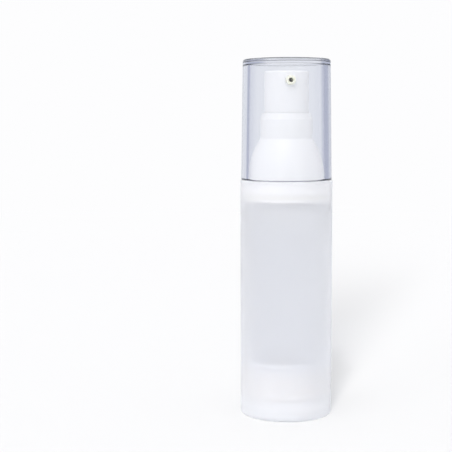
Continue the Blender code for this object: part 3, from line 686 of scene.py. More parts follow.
@dataclass(frozen=True)
class Finishes:
    """The finished materials, one for each real plastic or metal of the bottle, and copies of two with
    painted light and shade.
    """

    frosted: Material
    clear: Material
    white: Material
    painted_light_skirt: Material
    natural: Material
    feathered: Material
    ivory: Material
    seal: Material
    wire: Material
    ball: Material

    @classmethod
    def make(cls) -> "Finishes":
        """Build every material.

        Returns:
            The materials.
        """
        # White polypropylene: bluish white, semi-gloss, with a soft highlight
        white = MouldedPlastic(
            "white_polypropylene", "F2F3F5", "EFF0F3", (0.4, 0.5),
            ior=1.49, peel=0.8, peel_depth=0.012, flow=9.0, subsurface=0.12,
        )
        # The same in the collar, with painted light: its skirt turns a little whiter below the tube's rim,
        # where the frosted tube shades it
        rim = Extent.of("bottle").top
        painted_light_skirt = replace(
            white, name="painted_light_skirt_polypropylene", painted_end_tone="FBFBFC", end_from=rim, end_to=rim - SKIRT_LIGHT_FADE
        )
        # Natural polyethylene: unpigmented, waxy and slightly see-through, so its edges glow
        natural = MouldedPlastic(
            "natural_polyethylene", "EEEDEE", "E9E8E9", (0.42, 0.55),
            ior=1.51, peel=0.6, peel_depth=0.02, flow=6.0, subsurface=0.4,
        )
        # The same in the follower piston, a little whiter as painted light, darkening and cooling towards its
        # thin upper lip as painted shade that softens its edge against the dim hollow above
        lip = Extent.of("follower_piston").top
        feathered = replace(
            natural, name="feathered_polyethylene", light="EFEEEF", dark="EBEAEB", painted_end_tone="E6E8ED",
            end_from=lip - LIP_SHADE_FADE, end_to=lip,
        )
        # Acetal: dense ivory plastic with a soft sheen
        ivory = MouldedPlastic(
            "ivory_acetal", "F3F4E4", "EDEEDC", (0.3, 0.42),
            ior=1.48, peel=0.4, peel_depth=0.01, flow=3.0, subsurface=0.8,
        )
        # Thermoplastic elastomer: a warm white skin, matt with a fine grain
        seal = MouldedPlastic(
            "white_elastomer", "F4F4F1", "EFEFEC", (0.62, 0.75),
            ior=1.5, peel=0.5, peel_depth=0.02, flow=4.0, grain=0.15,
        )
        recipes = {
            "frosted": FrostedAcrylic(),
            "clear": ClearStyrenic(seat=Extent.of("overcap").foot + SEAT_SHADE_HEIGHT),
            "white": white, "painted_light_skirt": painted_light_skirt,
            "natural": natural, "feathered": feathered,
            "ivory": ivory, "seal": seal,
            "wire": DrawnSteel("drawn_spring_steel"),
            "ball": DrawnSteel("lapped_ball_steel", "CDCFD1", (0.08, 0.14), line=0.2, stretch=(1.0,) * 3),
        }
        return cls(**{name: recipe.material() for name, recipe in recipes.items()})


def place_piece(piece: Object, material: Material, slot: Slot, body: str, *nodes: str) -> Object:
    """Dress a piece, let it ride on its body and let it stand for its CAD nodes.

    Args:
        piece: the finished piece.
        material: its material.
        slot: the record's slot for its finish; not used.
        body: the body that it moves with.
        nodes: the CAD nodes that it replaces.

    Returns:
        The piece.
    """
    piece.data.materials.clear()
    piece.data.materials.append(material)
    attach(piece, body)
    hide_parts(*nodes)
    log.info("%s on %s: %d faces", piece.name, body, len(piece.data.polygons))
    return piece


# The container: tube, plug and follower piston


@dataclass(frozen=True)
class Container:
    """The frosted tube with the plug in its foot and the follower piston that rises behind the lotion."""

    finishes: Finishes
    wall: float = 1.8
    foot_round: float = 1.0
    rim_round: float = 0.4
    groove: float = 0.45
    groove_half: float = 0.8
    plug_groove_rise: float = 3.6
    collar_groove_drop: float = 4.2
    plug_wall: float = 1.4
    plug_bead_rise: float = 3.0
    vent: float = 3.2
    lip: float = 1.6
    waist: float = 0.6
    piston_wall: float = 1.3
    piston_floor: float = 1.8
    well: float = 9.0
    close_up: float = 0.2  # the plug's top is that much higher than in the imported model

    def tube(self) -> Object:
        """Make the straight tube, open at both ends, with rounded snap grooves in its bore.

        Returns:
            The piece.
        """
        size = Extent.of("bottle")
        bore = size.radius - self.wall
        corners = [(size.radius, size.top, self.rim_round), (size.radius, size.foot, self.foot_round)]
        corners.append((bore, size.foot, 0.25))
        for middle in (size.foot + self.plug_groove_rise, size.top - self.collar_groove_drop):
            corners += snap_ridge(bore, middle, self.groove_half, self.groove)
        return turned_piece("frosted_tube", [*corners, (bore, size.top, 0.3)])

    def plug(self) -> Object:
        """Make the upturned cup that closes the foot, with its vent and snap bead.

        Returns:
            The piece.
        """
        size = Extent.of("base_plug")
        top, outer = size.top + self.close_up, size.radius - self.groove
        under, inner = top - self.plug_wall, outer - self.plug_wall
        return turned_piece("foot_plug", [
            (self.vent, top, 0.3), (outer, top, 0.15),
            *snap_ridge(outer, size.foot + self.plug_bead_rise, self.groove_half, self.groove)[::-1],
            (outer, size.foot, 0.3), (inner, size.foot, 0.4), (inner, under, 0.8), (self.vent, under, 0.3),
        ])

    def follower(self) -> Object:
        """Make the follower piston: two thin wiping lips, a waist between, and a well for the pump's foot.

        Returns:
            The piece.
        """
        size = Extent.of("follower_piston")
        waist = size.radius - self.waist
        wall = waist - self.piston_wall
        well_outer = self.well + self.piston_wall
        floor, foot_lip, shoulder = size.foot + self.piston_floor, size.foot + self.lip, size.top - self.lip
        under = shoulder - self.piston_wall
        return turned_piece("follower_cup", [
            (0.0, floor), (self.well, floor, 0.8), (self.well, shoulder, 0.3), (wall, shoulder, 0.3),
            (size.radius, size.top, 0.12), (size.radius, shoulder, 0.3), (waist, shoulder - self.waist, 0.4),
            (waist, foot_lip + self.waist, 0.4), (size.radius, foot_lip, 0.3), (size.radius, size.foot, 0.1),
            (wall, size.foot, 0.3), (wall, under, 0.5), (well_outer, under, 0.5),
            (well_outer, size.foot, 0.5), (0.0, size.foot),
        ], ring=False)

    def build(self) -> None:
        """Make the three pieces and put them on their bodies."""
        finishes = self.finishes
        place_piece(self.tube(), finishes.frosted, Slot.FROSTED, "container", "bottle")
        place_piece(self.plug(), finishes.white, Slot.WHITE, "container", "base_plug")
        place_piece(self.follower(), finishes.feathered, Slot.NATURAL, "follower", "follower_piston")


# The closure: collar, seals and retaining ring


@dataclass(frozen=True)
class Closure:
    """The white collar that plugs the tube's mouth, with its soft seals and the ring that holds the pump."""

    finishes: Finishes
    sleeve_wall: float = 1.2
    sleeve_height: float = 9.5
    lip_height: float = 2.3  # 0.7 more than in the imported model
    lip_width: float = 0.7
    dome_round: float = 28.0
    dome_wall: float = 1.3
    dome_steps: int = 28
    dome_inner_start: float = 6.9
    land: float = 14.5
    skirt_wall: float = 1.4
    bead: float = 0.3
    bead_half: float = 0.9
    bead_drop: float = 4.2
    seal_width: float = 0.55
    seal_room: float = 0.03  # over and under the seal, in its groove
    shelf_rise: float = 0.5
    shelf_width: float = 1.8
    washer_width: float = 3.0
    retainer_width: float = 3.5

    def dome(self, height: np.ndarray) -> np.ndarray:
        """Outer radius of the dome at a height: an arc that starts upright at the land."""
        return self.land - self.dome_round + np.sqrt(self.dome_round**2 - height**2)

    def collar(self) -> Object:
        """Make the collar: skirt, land, dome and sleeve in one moulding.

        Returns:
            The piece.
        """
        size, seal, rim = Extent.of("collar"), Extent.of("mouth_seal"), Extent.of("bottle").top
        bore = Extent.of("actuator").radius + GAP
        sleeve = bore + self.sleeve_wall
        start, dome_top = rim + GAP, size.top - self.sleeve_height
        outside = np.linspace(dome_top - start, 0.0, self.dome_steps + 1)[1:]
        inside = np.linspace(self.dome_inner_start, dome_top - start, self.dome_steps)
        skirt, shelf = size.radius - self.bead, rim + self.shelf_rise
        skirt_bore, groove = skirt - self.skirt_wall, seal.radius - self.seal_width - GAP
        groove_foot, groove_top = seal.foot - self.seal_room, seal.top + self.seal_room
        corners = [
            (bore, size.top, 0.2), (sleeve - self.lip_width, size.top, 0.35),
            (sleeve, size.top - self.lip_height, 0.5), (sleeve, dome_top, 1.2),
            *zip(self.dome(outside), start + outside),
            (self.land, rim, 0.1), (skirt, rim, 0.25),
            *snap_ridge(skirt, rim - self.bead_drop, self.bead_half, self.bead)[::-1],
            (skirt, groove_top, 0.15), (groove, groove_top, 0.15),
            (groove, groove_foot, 0.15), (skirt, groove_foot, 0.15),
            (skirt, size.foot, 0.4), (skirt_bore, size.foot, 0.3),
            (skirt_bore, shelf, 0.2), (skirt_bore - self.shelf_width, shelf, 0.2),
            *zip(self.dome(inside) - self.dome_wall, start + inside - self.dome_wall),
        ]
        corners[-1] = (bore, dome_top - self.dome_wall, 0.3)
        return turned_piece("shoulder_collar", corners)

    def build(self) -> None:
        """Make the collar, its two seals and the retaining ring."""
        finishes = self.finishes
        place_piece(self.collar(), finishes.painted_light_skirt, Slot.WHITE, "container", "collar")
        for name, node, width, fillet, material, slot in (
            ("mouth_ring", "mouth_seal", self.seal_width, 0.1, finishes.seal, Slot.SEAL),
            ("flange_washer", "flange_gasket", self.washer_width, 0.15, finishes.seal, Slot.SEAL),
            ("pump_retainer", "retaining_ring", self.retainer_width, 0.35, finishes.white, Slot.WHITE),
        ):
            ring = band(name, node, Extent.of(node).radius - width, (fillet,) * 4)
            place_piece(ring, material, slot, "container", node)


# The pump engine: housing, valve, turret, spring, piston, rod and stem


@dataclass(frozen=True)
class PumpEngine:
    """Everything between the follower piston and the button."""

    finishes: Finishes
    chamber: float = 6.0
    wall: float = 1.2
    inlet_bore: float = 1.0
    inlet_length: float = 0.8
    ball_pocket: float = 2.4
    ball_rows: int = 33
    cage_hole: float = 0.7
    cage_slot: float = 1.4
    guide_wall: float = 1.2
    guide_rise: float = 1.4
    pocket_height: float = 1.7
    spring_radius: float = 4.5
    spring_wire: float = 0.35
    spring_turns: float = 6.5
    spring_steps: int = 40  # points along each turn
    closed_pitch: float = 0.74
    piston_waist: float = 0.6
    piston_lip: float = 1.0
    rod: float = 2.6
    rod_bore: float = 1.2
    rod_foot: float = 1.3
    port: float = 0.6
    port_rise: float = 1.2
    port_reach: float = 5.0  # half the length of the drill that cuts the port
    stem: float = 2.2
    shoulder_height: float = 5.7

    def casing(self) -> Object:
        """Make the pump housing: chamber, flange, cage and ball pockets, conical seat and inlet.

        Returns:
            The piece.
        """
        size, cage = Extent.of("pump_housing"), Extent.of("ball_cage")
        outer, pocket = self.chamber + self.wall, cage.radius + GAP
        inlet = pocket + self.wall
        flange_foot, flange_top = Extent.of("retaining_ring").top + GAP, Extent.of("flange_gasket").foot - GAP
        cage_floor, floor = cage.foot - GAP, cage.top + GAP
        step = floor - self.wall
        seat_foot = size.foot + self.inlet_length
        seat_top = seat_foot + self.ball_pocket - self.inlet_bore
        return turned_piece("pump_casing", [
            (self.chamber, size.top, 0.25), (outer, size.top, 0.3), (outer, flange_top, 0.4),
            (size.radius, flange_top, 0.25), (size.radius, flange_foot, 0.25), (outer, flange_foot, 0.4),
            (outer, step, 0.5), (inlet, step - self.wall, 0.4), (inlet, size.foot, 0.5),
            (self.inlet_bore, size.foot, 0.3), (self.inlet_bore, seat_foot, 0.1),
            (self.ball_pocket, seat_top, 0.3), (self.ball_pocket, cage_floor, 0.1),
            (pocket, cage_floor, 0.1), (pocket, floor, 0.15), (self.chamber, floor, 0.4),
        ])

    def cage(self) -> Object:
        """Make the disc over the ball, cut through by a hole and two crossed slots.

        Returns:
            The piece.
        """
        size = Extent.of("ball_cage")
        disc = band("valve_cage", "ball_cage", self.cage_hole, (0.1, 0.2, 0.2, 0.1), Round.INNER)
        middle = (0.0, 0.0, (size.foot + size.top) / 2)
        long, depth = 2 * (self.ball_pocket - GAP), 2 * (size.top - size.foot)
        slots = [block("slot_x", (long, self.cage_slot, depth), middle)]
        slots.append(block("slot_y", (self.cage_slot, long, depth), middle))
        combine(disc, slots, "DIFFERENCE")
        return disc

    def ball(self) -> Object:
        """Make the inlet ball: (r sin t, z + r cos t), turned, for t from pole to pole.

        Returns:
            The piece.
        """
        size = Extent.of("inlet_ball")
        radius, middle = (size.top - size.foot) / 2, (size.top + size.foot) / 2
        t = np.linspace(0.0, math.pi, self.ball_rows)
        profile = np.stack([radius * np.sin(t), middle + radius * np.cos(t)], axis=-1)
        profile[[0, -1], 0] = 0.0
        return mesh_object("check_ball", turned_surface(profile, Round.SMALL, ring=False))

    def turret(self) -> Object:
        """Make the turret: a cap over the housing's top with the stem's guide on its plate.

        Returns:
            The piece.
        """
        size = Extent.of("turret")
        guide, pocket = self.stem + GAP, Extent.of("stem").radius + GAP
        bore, collar = self.chamber + self.wall + GAP, guide + self.guide_wall
        plate, step = size.top - self.guide_rise, Extent.of("stem_seal").top + GAP
        pocket_top = step + self.pocket_height
        return turned_piece("stem_turret", [
            (guide, size.top, 0.15), (collar, size.top, 0.3), (collar, plate, 0.3), (size.radius, plate, 0.5),
            (size.radius, size.foot, 0.3), (bore, size.foot, 0.3), (bore, step, 0.2), (pocket, step, 0.1),
            (pocket, pocket_top, 0.2), (guide, pocket_top, 0.1),
        ], Round.INNER)

    def wiper(self) -> Object:
        """The washer that wipes the stem's shoulder."""
        inner = Extent.of("stem").radius + GAP
        return band("stem_wiper", "stem_seal", inner, (0.2, 0.15, 0.15, 0.3), Round.INNER)

    def spring(self) -> Object:
        """Make the return spring, a helix whose first and last turns lie closed.

        The height grows by the closed pitch over the first and last turn and evenly between, and the
        line is (R cos a, R sin a, height).

        Returns:
            The piece.
        """
        size = Extent.of("spring")
        low, high = size.foot + self.spring_wire, size.top - self.spring_wire
        turn = np.linspace(0.0, self.spring_turns, int(self.spring_turns * self.spring_steps) + 1)
        knots = [0.0, 1.0, self.spring_turns - 1.0, self.spring_turns]
        height = np.interp(turn, knots, [low, low + self.closed_pitch, high - self.closed_pitch, high])
        angle = 2 * math.pi * turn
        outward = np.stack([np.cos(angle), np.sin(angle), np.zeros_like(angle)], axis=-1)
        centres = outward * self.spring_radius + height[:, None] * np.array([0.0, 0.0, 1.0])
        return mesh_object("return_spring", wire_surface(centres, outward, self.spring_wire, Round.WIRE))

    def piston(self) -> Object:
        """Make the pump piston, with a thin flared lip at each end.

        Returns:
            The piece.
        """
        size = Extent.of("pump_piston")
        waist, bore = size.radius - self.piston_waist, self.rod + GAP
        lip_foot = size.top - self.piston_lip
        upper = [
            (bore, size.top, 0.15), (waist, lip_foot, 0.15), (size.radius, size.top, 0.08),
            (size.radius, lip_foot, 0.2), (waist, lip_foot - self.piston_lip, 0.5),
        ]
        lower = [(radius, size.top + size.foot - height, fillet) for radius, height, fillet in upper[::-1]]
        return turned_piece("chamber_piston", upper + lower, Round.INNER)

    def piston_rod(self) -> Object:
        """Make the rod: a valve foot, a bored shaft and the ports across it.

        Returns:
            The piece.
        """
        size = Extent.of("piston_rod")
        foot_top = size.foot + self.rod_foot
        floor = foot_top + GAP
        rod = turned_piece("valve_rod", [
            (0.0, floor), (self.rod_bore, floor, 0.1), (self.rod_bore, size.top, 0.1),
            (self.rod, size.top, 0.3), (self.rod, foot_top, 0.15), (size.radius, foot_top, 0.25),
            (size.radius, size.foot, 0.4), (0.0, size.foot),
        ], Round.INNER, ring=False)
        end = self.port_reach
        drill = turned_piece(
            "port", [(0.0, -end), (self.port, -end), (self.port, end), (0.0, end)],
            Round.PORT, ring=False, axis=Axis.ACROSS, origin=(0.0, 0.0, foot_top + self.port_rise),
        )
        combine(rod, [drill], "DIFFERENCE")
        return rod

    def hollow_stem(self) -> Object:
        """Make the stem: a narrow tube over a shoulder that stops under the turret.

        Returns:
            The piece.
        """
        size = Extent.of("stem")
        shoulder_top = size.foot + self.shoulder_height
        socket, socket_top = self.rod + GAP, Extent.of("piston_rod").top + GAP
        return turned_piece("pump_stem", [
            (self.rod_bore, size.top, 0.15), (self.stem, size.top, 0.3), (self.stem, shoulder_top, 0.2),
            (size.radius, shoulder_top, 0.25), (size.radius, size.foot, 0.2), (socket, size.foot, 0.15),
            (socket, socket_top, 0.1), (self.rod_bore, socket_top, 0.1),
        ], Round.INNER)

    def build(self) -> None:
        """Make the pump's pieces and put them on their bodies."""
        white, finishes = self.finishes.white, self.finishes
        place_piece(self.casing(), white, Slot.WHITE, "container", "pump_housing")
        place_piece(self.cage(), white, Slot.WHITE, "container", "ball_cage")
        place_piece(self.ball(), finishes.ball, Slot.STEEL, "inlet_valve", "inlet_ball")
        place_piece(self.turret(), white, Slot.WHITE, "container", "turret")
        place_piece(self.wiper(), finishes.seal, Slot.SEAL, "container", "stem_seal")
        place_piece(self.piston(), finishes.natural, Slot.NATURAL, "piston", "pump_piston")
        place_piece(self.piston_rod(), white, Slot.WHITE, "plunger", "piston_rod")
        place_piece(self.hollow_stem(), white, Slot.WHITE, "plunger", "stem")
        spring = place_piece(self.spring(), finishes.wire, Slot.STEEL, "container", "spring")
        # The spring stands on the turret's plate, and a full stroke leaves it about half of its height
        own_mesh(spring)


# The button: actuator, nozzle and outlet valve


@dataclass(frozen=True)
class PressButton:
    """The button that is pressed and turned, with the outlet through its front."""

    finishes: Finishes
    radius: float = 8.4
    wall: float = 1.2
    top: float = 1.9
    corner: float = 0.7
    post: float = 3.8
    post_flange: float = 5.3
    flange_height: float = 1.2
    socket: float = 2.5
    socket_depth: float = 11.0
    channel: float = 1.2
    cross_channel: float = 1.1
    nozzle_drop: float = 3.6
    nozzle_seat: float = 3.1
    nozzle_bore: float = 1.8  # 0.05 wider than the nozzle in it
    nozzle_hole: float = 0.8
    funnel_width: float = 0.15
    funnel_depth: float = 0.3
    boss: float = 2.35
    boss_reach: float = 0.4
    boss_root: float = -1.5  # y of its back end, inside the button
    valve_length: float = 2.1
    valve_bore: float = 1.7  # wider than the valve in it by the usual gap
    valve_wall: float = 0.45
    slit: float = 0.3

    @property
    def outlet(self) -> float:
        """Height of the outlet's axis."""
        return Extent.of("actuator").top - self.nozzle_drop

    def outlet_piece(self, name: str, corners: list[Corner], end: float, segments: int, ring: bool) -> Object:
        """Turn a profile about the outlet's axis.

        Args:
            name: name of the piece.
            corners: the profile's corners, whose height grows forwards.
            end: y of the profile's origin, at the back.
            segments: faces round the piece.
            ring: whether the profile closes on itself.

        Returns:
            The piece.
        """
        origin = (0.0, end, self.outlet)
        return turned_piece(name, corners, segments, ring=ring, axis=Axis.FORWARD, origin=origin)

    def bar(self, name: str, radius: float, tip: float, end: float, fillet: float = 0.0) -> Object:
        """Make a solid round bar along the outlet.

        Args:
            name: name of the solid.
            radius: its radius.
            tip: y of its front face.
            end: y of its back face.
            fillet: rounding of its front edge.

        Returns:
            The solid.
        """
        corners = [(0.0, 0.0), (radius, 0.0), (radius, end - tip, fillet), (0.0, end - tip)]
        return self.outlet_piece(name, corners, end, Round.INNER, False)

    def button(self) -> Object:
        """Make the shell and its socketed post, joined to the outlet's tube and bored for what sits in it.

        Returns:
            The piece.
        """
        size, stem_top = Extent.of("actuator"), Extent.of("stem").top
        outer, inner, ceiling = self.radius, self.radius - self.wall, size.top - self.top
        post_foot, channel_foot = stem_top - self.socket_depth, stem_top + GAP
        flange_top = post_foot + self.flange_height
        shell = turned_piece("press_button", [
            (0.0, size.top), (outer, size.top, self.corner), (outer, size.foot, 0.25),
            (inner, size.foot, 0.25), (inner, ceiling, 0.6), (self.post, ceiling, 0.4),
            (self.post, flange_top, 0.3), (self.post_flange, flange_top, 0.25),
            (self.post_flange, post_foot, 0.3), (self.socket, post_foot, 0.3),
            (self.socket, channel_foot, 0.1), (self.channel, channel_foot, 0.1),
            (self.channel, self.outlet), (0.0, self.outlet),
        ], ring=False)
        tip, seat_end = -outer - self.boss_reach, -outer + self.nozzle_seat
        combine(shell, [self.bar("outlet_boss", self.boss, tip, self.boss_root, 0.35)], "UNION")
        holes = [
            self.bar("cross_channel", self.cross_channel, tip - GAP, 0.0),
            self.bar("valve_seat", self.valve_bore, tip - GAP, seat_end + self.valve_length + GAP),
            self.bar("nozzle_seat", self.nozzle_bore, tip - GAP, seat_end),
        ]
        combine(shell, holes, "DIFFERENCE")
        return shell

    def nozzle(self) -> Object:
        """Make the nozzle ring, with a rounded lip and a small funnel into its bore.

        Returns:
            The piece.
        """
        size = Extent.of("nozzle_insert", Axis.FORWARD)
        hole, length = self.nozzle_hole, size.top - size.foot
        corners = [(hole, 0.0, 0.1), (size.radius, 0.0, 0.1), (size.radius, length, 0.45)]
        corners += [(hole + self.funnel_width, length, 0.1), (hole, length - self.funnel_depth, 0.15)]
        return self.outlet_piece("nozzle_tip", corners, size.top, Round.NOZZLE, True)

    def valve(self) -> Object:
        """Make the soft thimble behind the nozzle, slit across its closed end.

        Returns:
            The piece.
        """
        size = Extent.of("outlet_valve", Axis.FORWARD)
        wall, inner, length = self.valve_wall, size.radius - self.valve_wall, size.top - size.foot
        corners = [(0.0, length), (inner, length, 0.2), (size.radius, length / 2, 0.3)]
        corners += [(size.radius, 0.0, 0.15), (inner, 0.0, 0.1), (inner, length - 2 * wall, 0.2)]
        corners.append((0.0, length - wall))
        valve = self.outlet_piece("slit_valve", corners, size.top, Round.SMALL, False)
        slit = block("slit", (2 * (inner - GAP), 4 * wall, self.slit), (0.0, size.foot, self.outlet))
        combine(valve, [slit], "DIFFERENCE")
        return valve

    def build(self) -> None:
        """Make the button, its nozzle and its valve."""
        place_piece(self.button(), self.finishes.white, Slot.WHITE, "head", "actuator")
        place_piece(self.nozzle(), self.finishes.ivory, Slot.IVORY, "head", "nozzle_insert")
        place_piece(self.valve(), self.finishes.seal, Slot.SEAL, "head", "outlet_valve")


@dataclass(frozen=True)
class Overcap:
    """The clear cap: drafted thick wall, flat ceiling, rounded crown and a lead-in at its foot."""

    finishes: Finishes
    wall: float = 2.6  # 0.25 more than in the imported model
    ceiling: float = 2.0
    draft: float = 0.65
    crown: float = 1.0
    inner_crown: float = 0.6
    lead_in: float = 0.2
    lead_in_height: float = 0.5
    foot_gap: float = 0.2  # that much less room over the tube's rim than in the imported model

    def shell(self) -> Object:
        """Make the cap's one moulding.

        Returns:
            The piece.
        """
        size = Extent.of("overcap")
        bore, under = size.radius - self.wall, size.top - self.ceiling
        foot = size.foot - self.foot_gap
        return turned_piece("clear_cap", [
            (0.0, size.top), (size.radius - self.draft, size.top, self.crown), (size.radius, foot, 0.35),
            (bore + self.lead_in, foot, 0.12), (bore, foot + self.lead_in_height, 0.3),
            (bore - self.draft, under, self.inner_crown), (0.0, under),
        ], Round.CAP, ring=False)

    def build(self) -> None:
        """Make the cap."""
        place_piece(self.shell(), self.finishes.clear, Slot.CLEAR, "cap", "overcap")


# The studio: floor, light and camera


@dataclass(frozen=True)
class Lamp:
    """A distant soft lamp: its strength, where it stands and how wide it looks, in degrees."""

    name: str
    strength: float
    azimuth: float  # to the left of the nozzle's direction
    elevation: float
    width: float
    floor_only: bool = False  # lights the floor alone, where the bottle stands in its way

    def build(self, floor: Object) -> None:
        """Hang the lamp.

        Args:
            floor: the floor, which some lamps light alone.
        """
        data = bpy.data.lights.new(self.name, "SUN")
        data.energy = self.strength
        data.angle = math.radians(self.width)
        lamp = linked(self.name, data)
        azimuth, elevation = math.radians(self.azimuth), math.radians(self.elevation)
        level = math.cos(elevation)
        towards = Vector((-math.sin(azimuth) * level, -math.cos(azimuth) * level, math.sin(elevation)))
        lamp.matrix_world = towards.to_track_quat("Z", "Y").to_matrix().to_4x4()
        if self.floor_only:
            lit = bpy.data.collections.new(f"lit_by_{self.name}")
            lit.objects.link(floor)
            lamp.light_linking.receiver_collection = lit


@dataclass(frozen=True)
class Studio:
    """A white sweep under even light, with two lamps from the front left and one more for the floor."""

    distance: float = 0.420  # metres, as are the camera's other places
    camera_height: float = 0.114
    azimuth: float = math.radians(9.4)  # of the camera, to the left of the nozzle
    aim_side: float = 0.0231  # how far right of the aim point the bottle stands
    aim_height: float = 0.0721
    focal: float = 1100.9 / 452.0  # focal length over the picture's width, both in pixels
    roll: float = math.radians(-0.17)
    sensor: float = 36.0
    clip_start: float = 0.01
    fill: float = 0.96  # strength of the soft light from all sides
    fill_tone: str = "FCFCFE"
    lamps: tuple[Lamp, ...] = (
        Lamp("key", 0.35, 55.0, 30.0, 35.0),
        Lamp("top", 0.45, 20.0, 50.0, 4.0),
        Lamp("low", 3.2, 17.5, 18.0, 13.0, floor_only=True),
    )
    floor_rings: int = 24
    floor_round: int = 96
    floor_start: float = 20.0
    floor_radius: float = 1600.0
    floor_level: float = -0.05
    tooth: float = 10 / 9  # width of the paper's tooth
    tooth_depth: float = 0.02
    paper_lit: str = "CFD0D2"  # the paper as the pieces' soft bounces meet it
    paper_shown: str = "D9D9D9"  # the paper as the camera sees it
    background: str = "FDFDFE"
    fade: tuple[float, float] = (0.35, 0.9)  # distances between which the floor turns into it, m
    seen_inside: str = "E5E8EF"  # the background where it is seen in or through a piece
    seen_beside: str = "B0B5C8"  # the same in its dull zones
    # Each dull zone's axis, the parts of the direction where it starts and is full, and how dull it grows
    zones: tuple[tuple[str, float, float, float], ...] = (
        ("Z", 0.3, 0.8, 0.12), ("X", 0.43, 0.65, 1.0), ("X", -0.46, -0.6, 1.0),
    )
    behind: tuple[float, float] = (0.25, 0.5)  # parts of the direction between its front and back halves
    in_front: float = 0.3  # share of their dullness in the front half
    zone_fade: tuple[float, float] = (0.3, 0.9)  # distances between which they come up on the floor, m

    def camera(self) -> None:
        """Stand the camera where the photograph was taken from, and aim it."""
        back = Vector((-math.sin(self.azimuth), -math.cos(self.azimuth), 0.0))
        right = Vector((-back.y, back.x, 0.0))
        place = back * self.distance + Vector((0.0, 0.0, self.camera_height))
        aim = -right * self.aim_side + Vector((0.0, 0.0, self.aim_height))
        data = bpy.data.cameras.new("camera")
        data.sensor_width = self.sensor
        data.lens = self.sensor * self.focal
        data.clip_start = self.clip_start
        camera = linked("camera", data)
        turn = (aim - place).to_track_quat("-Z", "Y").to_matrix() @ Matrix.Rotation(self.roll, 3, "Z")
        camera.matrix_world = Matrix.Translation(place) @ turn.to_4x4()
        bpy.context.scene.camera = camera

    def around(self, tree: NodeTree, way: Node | NodeSocket, share: Node | None = None) -> NodeSocket:
        """The background's colour as it is seen in and through the pieces.

        Args:
            tree: the tree to add the nodes to.
            way: the direction looked in.
            share: how much of the dull zones counts, or None for all of it.

        Returns:
            The colour: pale behind the object, duller to both sides of that and a little overhead. In the
            front half the zones are weaker.
        """
        parts = add_node(tree, "SeparateXYZ", {0: way}).outputs
        dull, *others = (
            add_node(
                tree, "MapRange", {"From Min": near, "From Max": far, "To Max": level, "Value": parts[axis]},
                interpolation_type="SMOOTHSTEP",
            )
            for axis, near, far, level in self.zones
        )
        for other in others:
            dull = add_node(tree, "Math", {0: dull, 1: other}, operation="MAXIMUM")
        near, far = self.behind
        span = {"From Min": near, "From Max": far, "To Min": self.in_front}
        half = add_node(tree, "MapRange", {**span, "Value": parts["Y"]}, interpolation_type="SMOOTHSTEP")
        for part in filter(None, (half, share)):
            dull = add_node(tree, "Math", {0: dull, 1: part}, operation="MULTIPLY")
        colours = {COLOUR_A: linear(self.seen_inside), COLOUR_B: linear(self.seen_beside)}
        return add_node(tree, "Mix", {FACTOR: dull, **colours}, data_type="RGBA").outputs[MIXED]

    def sky(self) -> None:
        """Light the object evenly, and show a plain pale background straight on.

        In and through the pieces the background has duller zones, which draw the clear cap's edges.
        """
        world = bpy.data.worlds.new("studio")
        world.use_nodes = True
        tree = world.node_tree
        tree.nodes.clear()
        way = add_node(tree, "TexCoord").outputs["Generated"]
        fill = add_node(tree, "Background", {"Color": linear(self.fill_tone), "Strength": self.fill})
        inside = add_node(tree, "Background", {"Color": self.around(tree, way), "Strength": 1.0})
        plain = add_node(tree, "Background", {"Color": linear(self.background), "Strength": 1.0})
        add_node(tree, "OutputWorld", {"Surface": by_ray(tree, fill, inside, plain)})
        bpy.context.scene.world = world

    def floor(self) -> Object:
        """Lay a round white floor: rings of points (r cos a, r sin a), which fades into the background.

        Returns:
            The floor.
        """
        rings = np.concatenate([[0.0], np.geomspace(self.floor_start, self.floor_radius, self.floor_rings)])
        angle = np.linspace(0.0, 2 * math.pi, self.floor_round, endpoint=False)
        level = np.full((len(rings), len(angle)), self.floor_level)
        points = np.stack([rings[:, None] * np.cos(angle), rings[:, None] * np.sin(angle), level], axis=-1)
        floor = mesh_object("floor", grid_surface(points, ring=False))
        floor.data.materials.append(self.paper())
        return floor

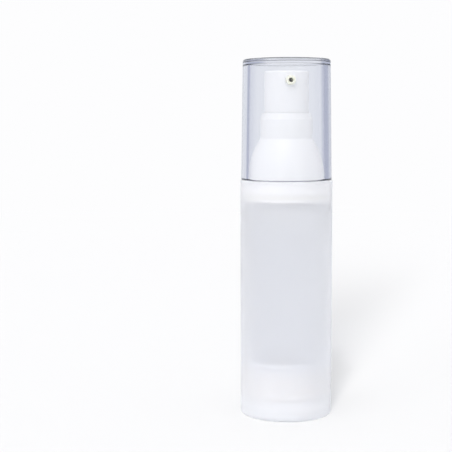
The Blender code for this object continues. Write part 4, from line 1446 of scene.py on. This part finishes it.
    def paper(self) -> Material:
        """White seamless paper: matt, with a faint tooth, fading into the background far off.

        Returns:
            The material.
        """
        material, tree, place = start_material("seamless_paper")
        tooth = add_node(tree, "TexNoise", {"Scale": 1 / (self.tooth * MM), "Detail": 3.0, "Vector": place})
        bump = add_node(tree, "Bump", {"Strength": 0.05, "Distance": self.tooth_depth * MM, "Height": tooth})
        lit, near = (
            add_node(tree, "BsdfDiffuse", {"Color": linear(tone), "Normal": bump})
            for tone in (self.paper_lit, self.paper_shown)
        )
        far = add_node(tree, "Emission", {"Color": linear(self.background), "Strength": 1.0})
        distance = add_node(tree, "VectorMath", {0: place}, operation="LENGTH").outputs["Value"]
        fade, share = (
            add_node(
                tree, "MapRange", {"From Min": start, "From Max": end, "Value": distance},
                interpolation_type="SMOOTHSTEP",
            )
            for start, end in (self.fade, self.zone_fade)
        )
        sweep = add_node(tree, "MixShader", {0: fade, 1: near, 2: far})
        way = add_node(tree, "VectorMath", {0: place}, operation="NORMALIZE")
        inside = add_node(tree, "Emission", {"Color": self.around(tree, way, share), "Strength": 1.0})
        add_node(tree, "OutputMaterial", {"Surface": by_ray(tree, lit, inside, sweep)})
        return material

    def build(self) -> None:
        """Set the floor, the light, the camera and the plain view transform."""
        floor = self.floor()
        for lamp in self.lamps:
            lamp.build(floor)
        self.sky()
        self.camera()
        bpy.context.scene.view_settings.view_transform = "Standard"


def by_ray(tree: NodeTree, lit: Node, inside: Node, straight: Node) -> Node:
    """Choose what a ray meets by the kind of ray.

    Args:
        tree: the tree to add the nodes to.
        lit: what lights the object, for soft bounces.
        inside: what a reflection or a view through glass shows.
        straight: what the camera sees directly.

    Returns:
        The mixed shader.
    """
    path = add_node(tree, "LightPath").outputs
    either = {0: path["Is Glossy Ray"], 1: path["Is Transmission Ray"]}
    bent = add_node(tree, "Math", either, operation="ADD", use_clamp=True)
    unseen = add_node(tree, "MixShader", {0: bent, 1: lit, 2: inside})
    return add_node(tree, "MixShader", {0: path["Is Camera Ray"], 1: unseen, 2: straight})


def main() -> None:
    """Build and dress the bottle, piece by piece, and set the studio round it."""
    logging.basicConfig(level=logging.INFO, format="%(name)s: %(message)s")
    finishes = Finishes.make()
    for assembly in (Container, Closure, PumpEngine, PressButton, Overcap):
        assembly(finishes).build()
        log.info("%s done", assembly.__name__)
    Studio().build()


if __name__ == "__main__":
    main()
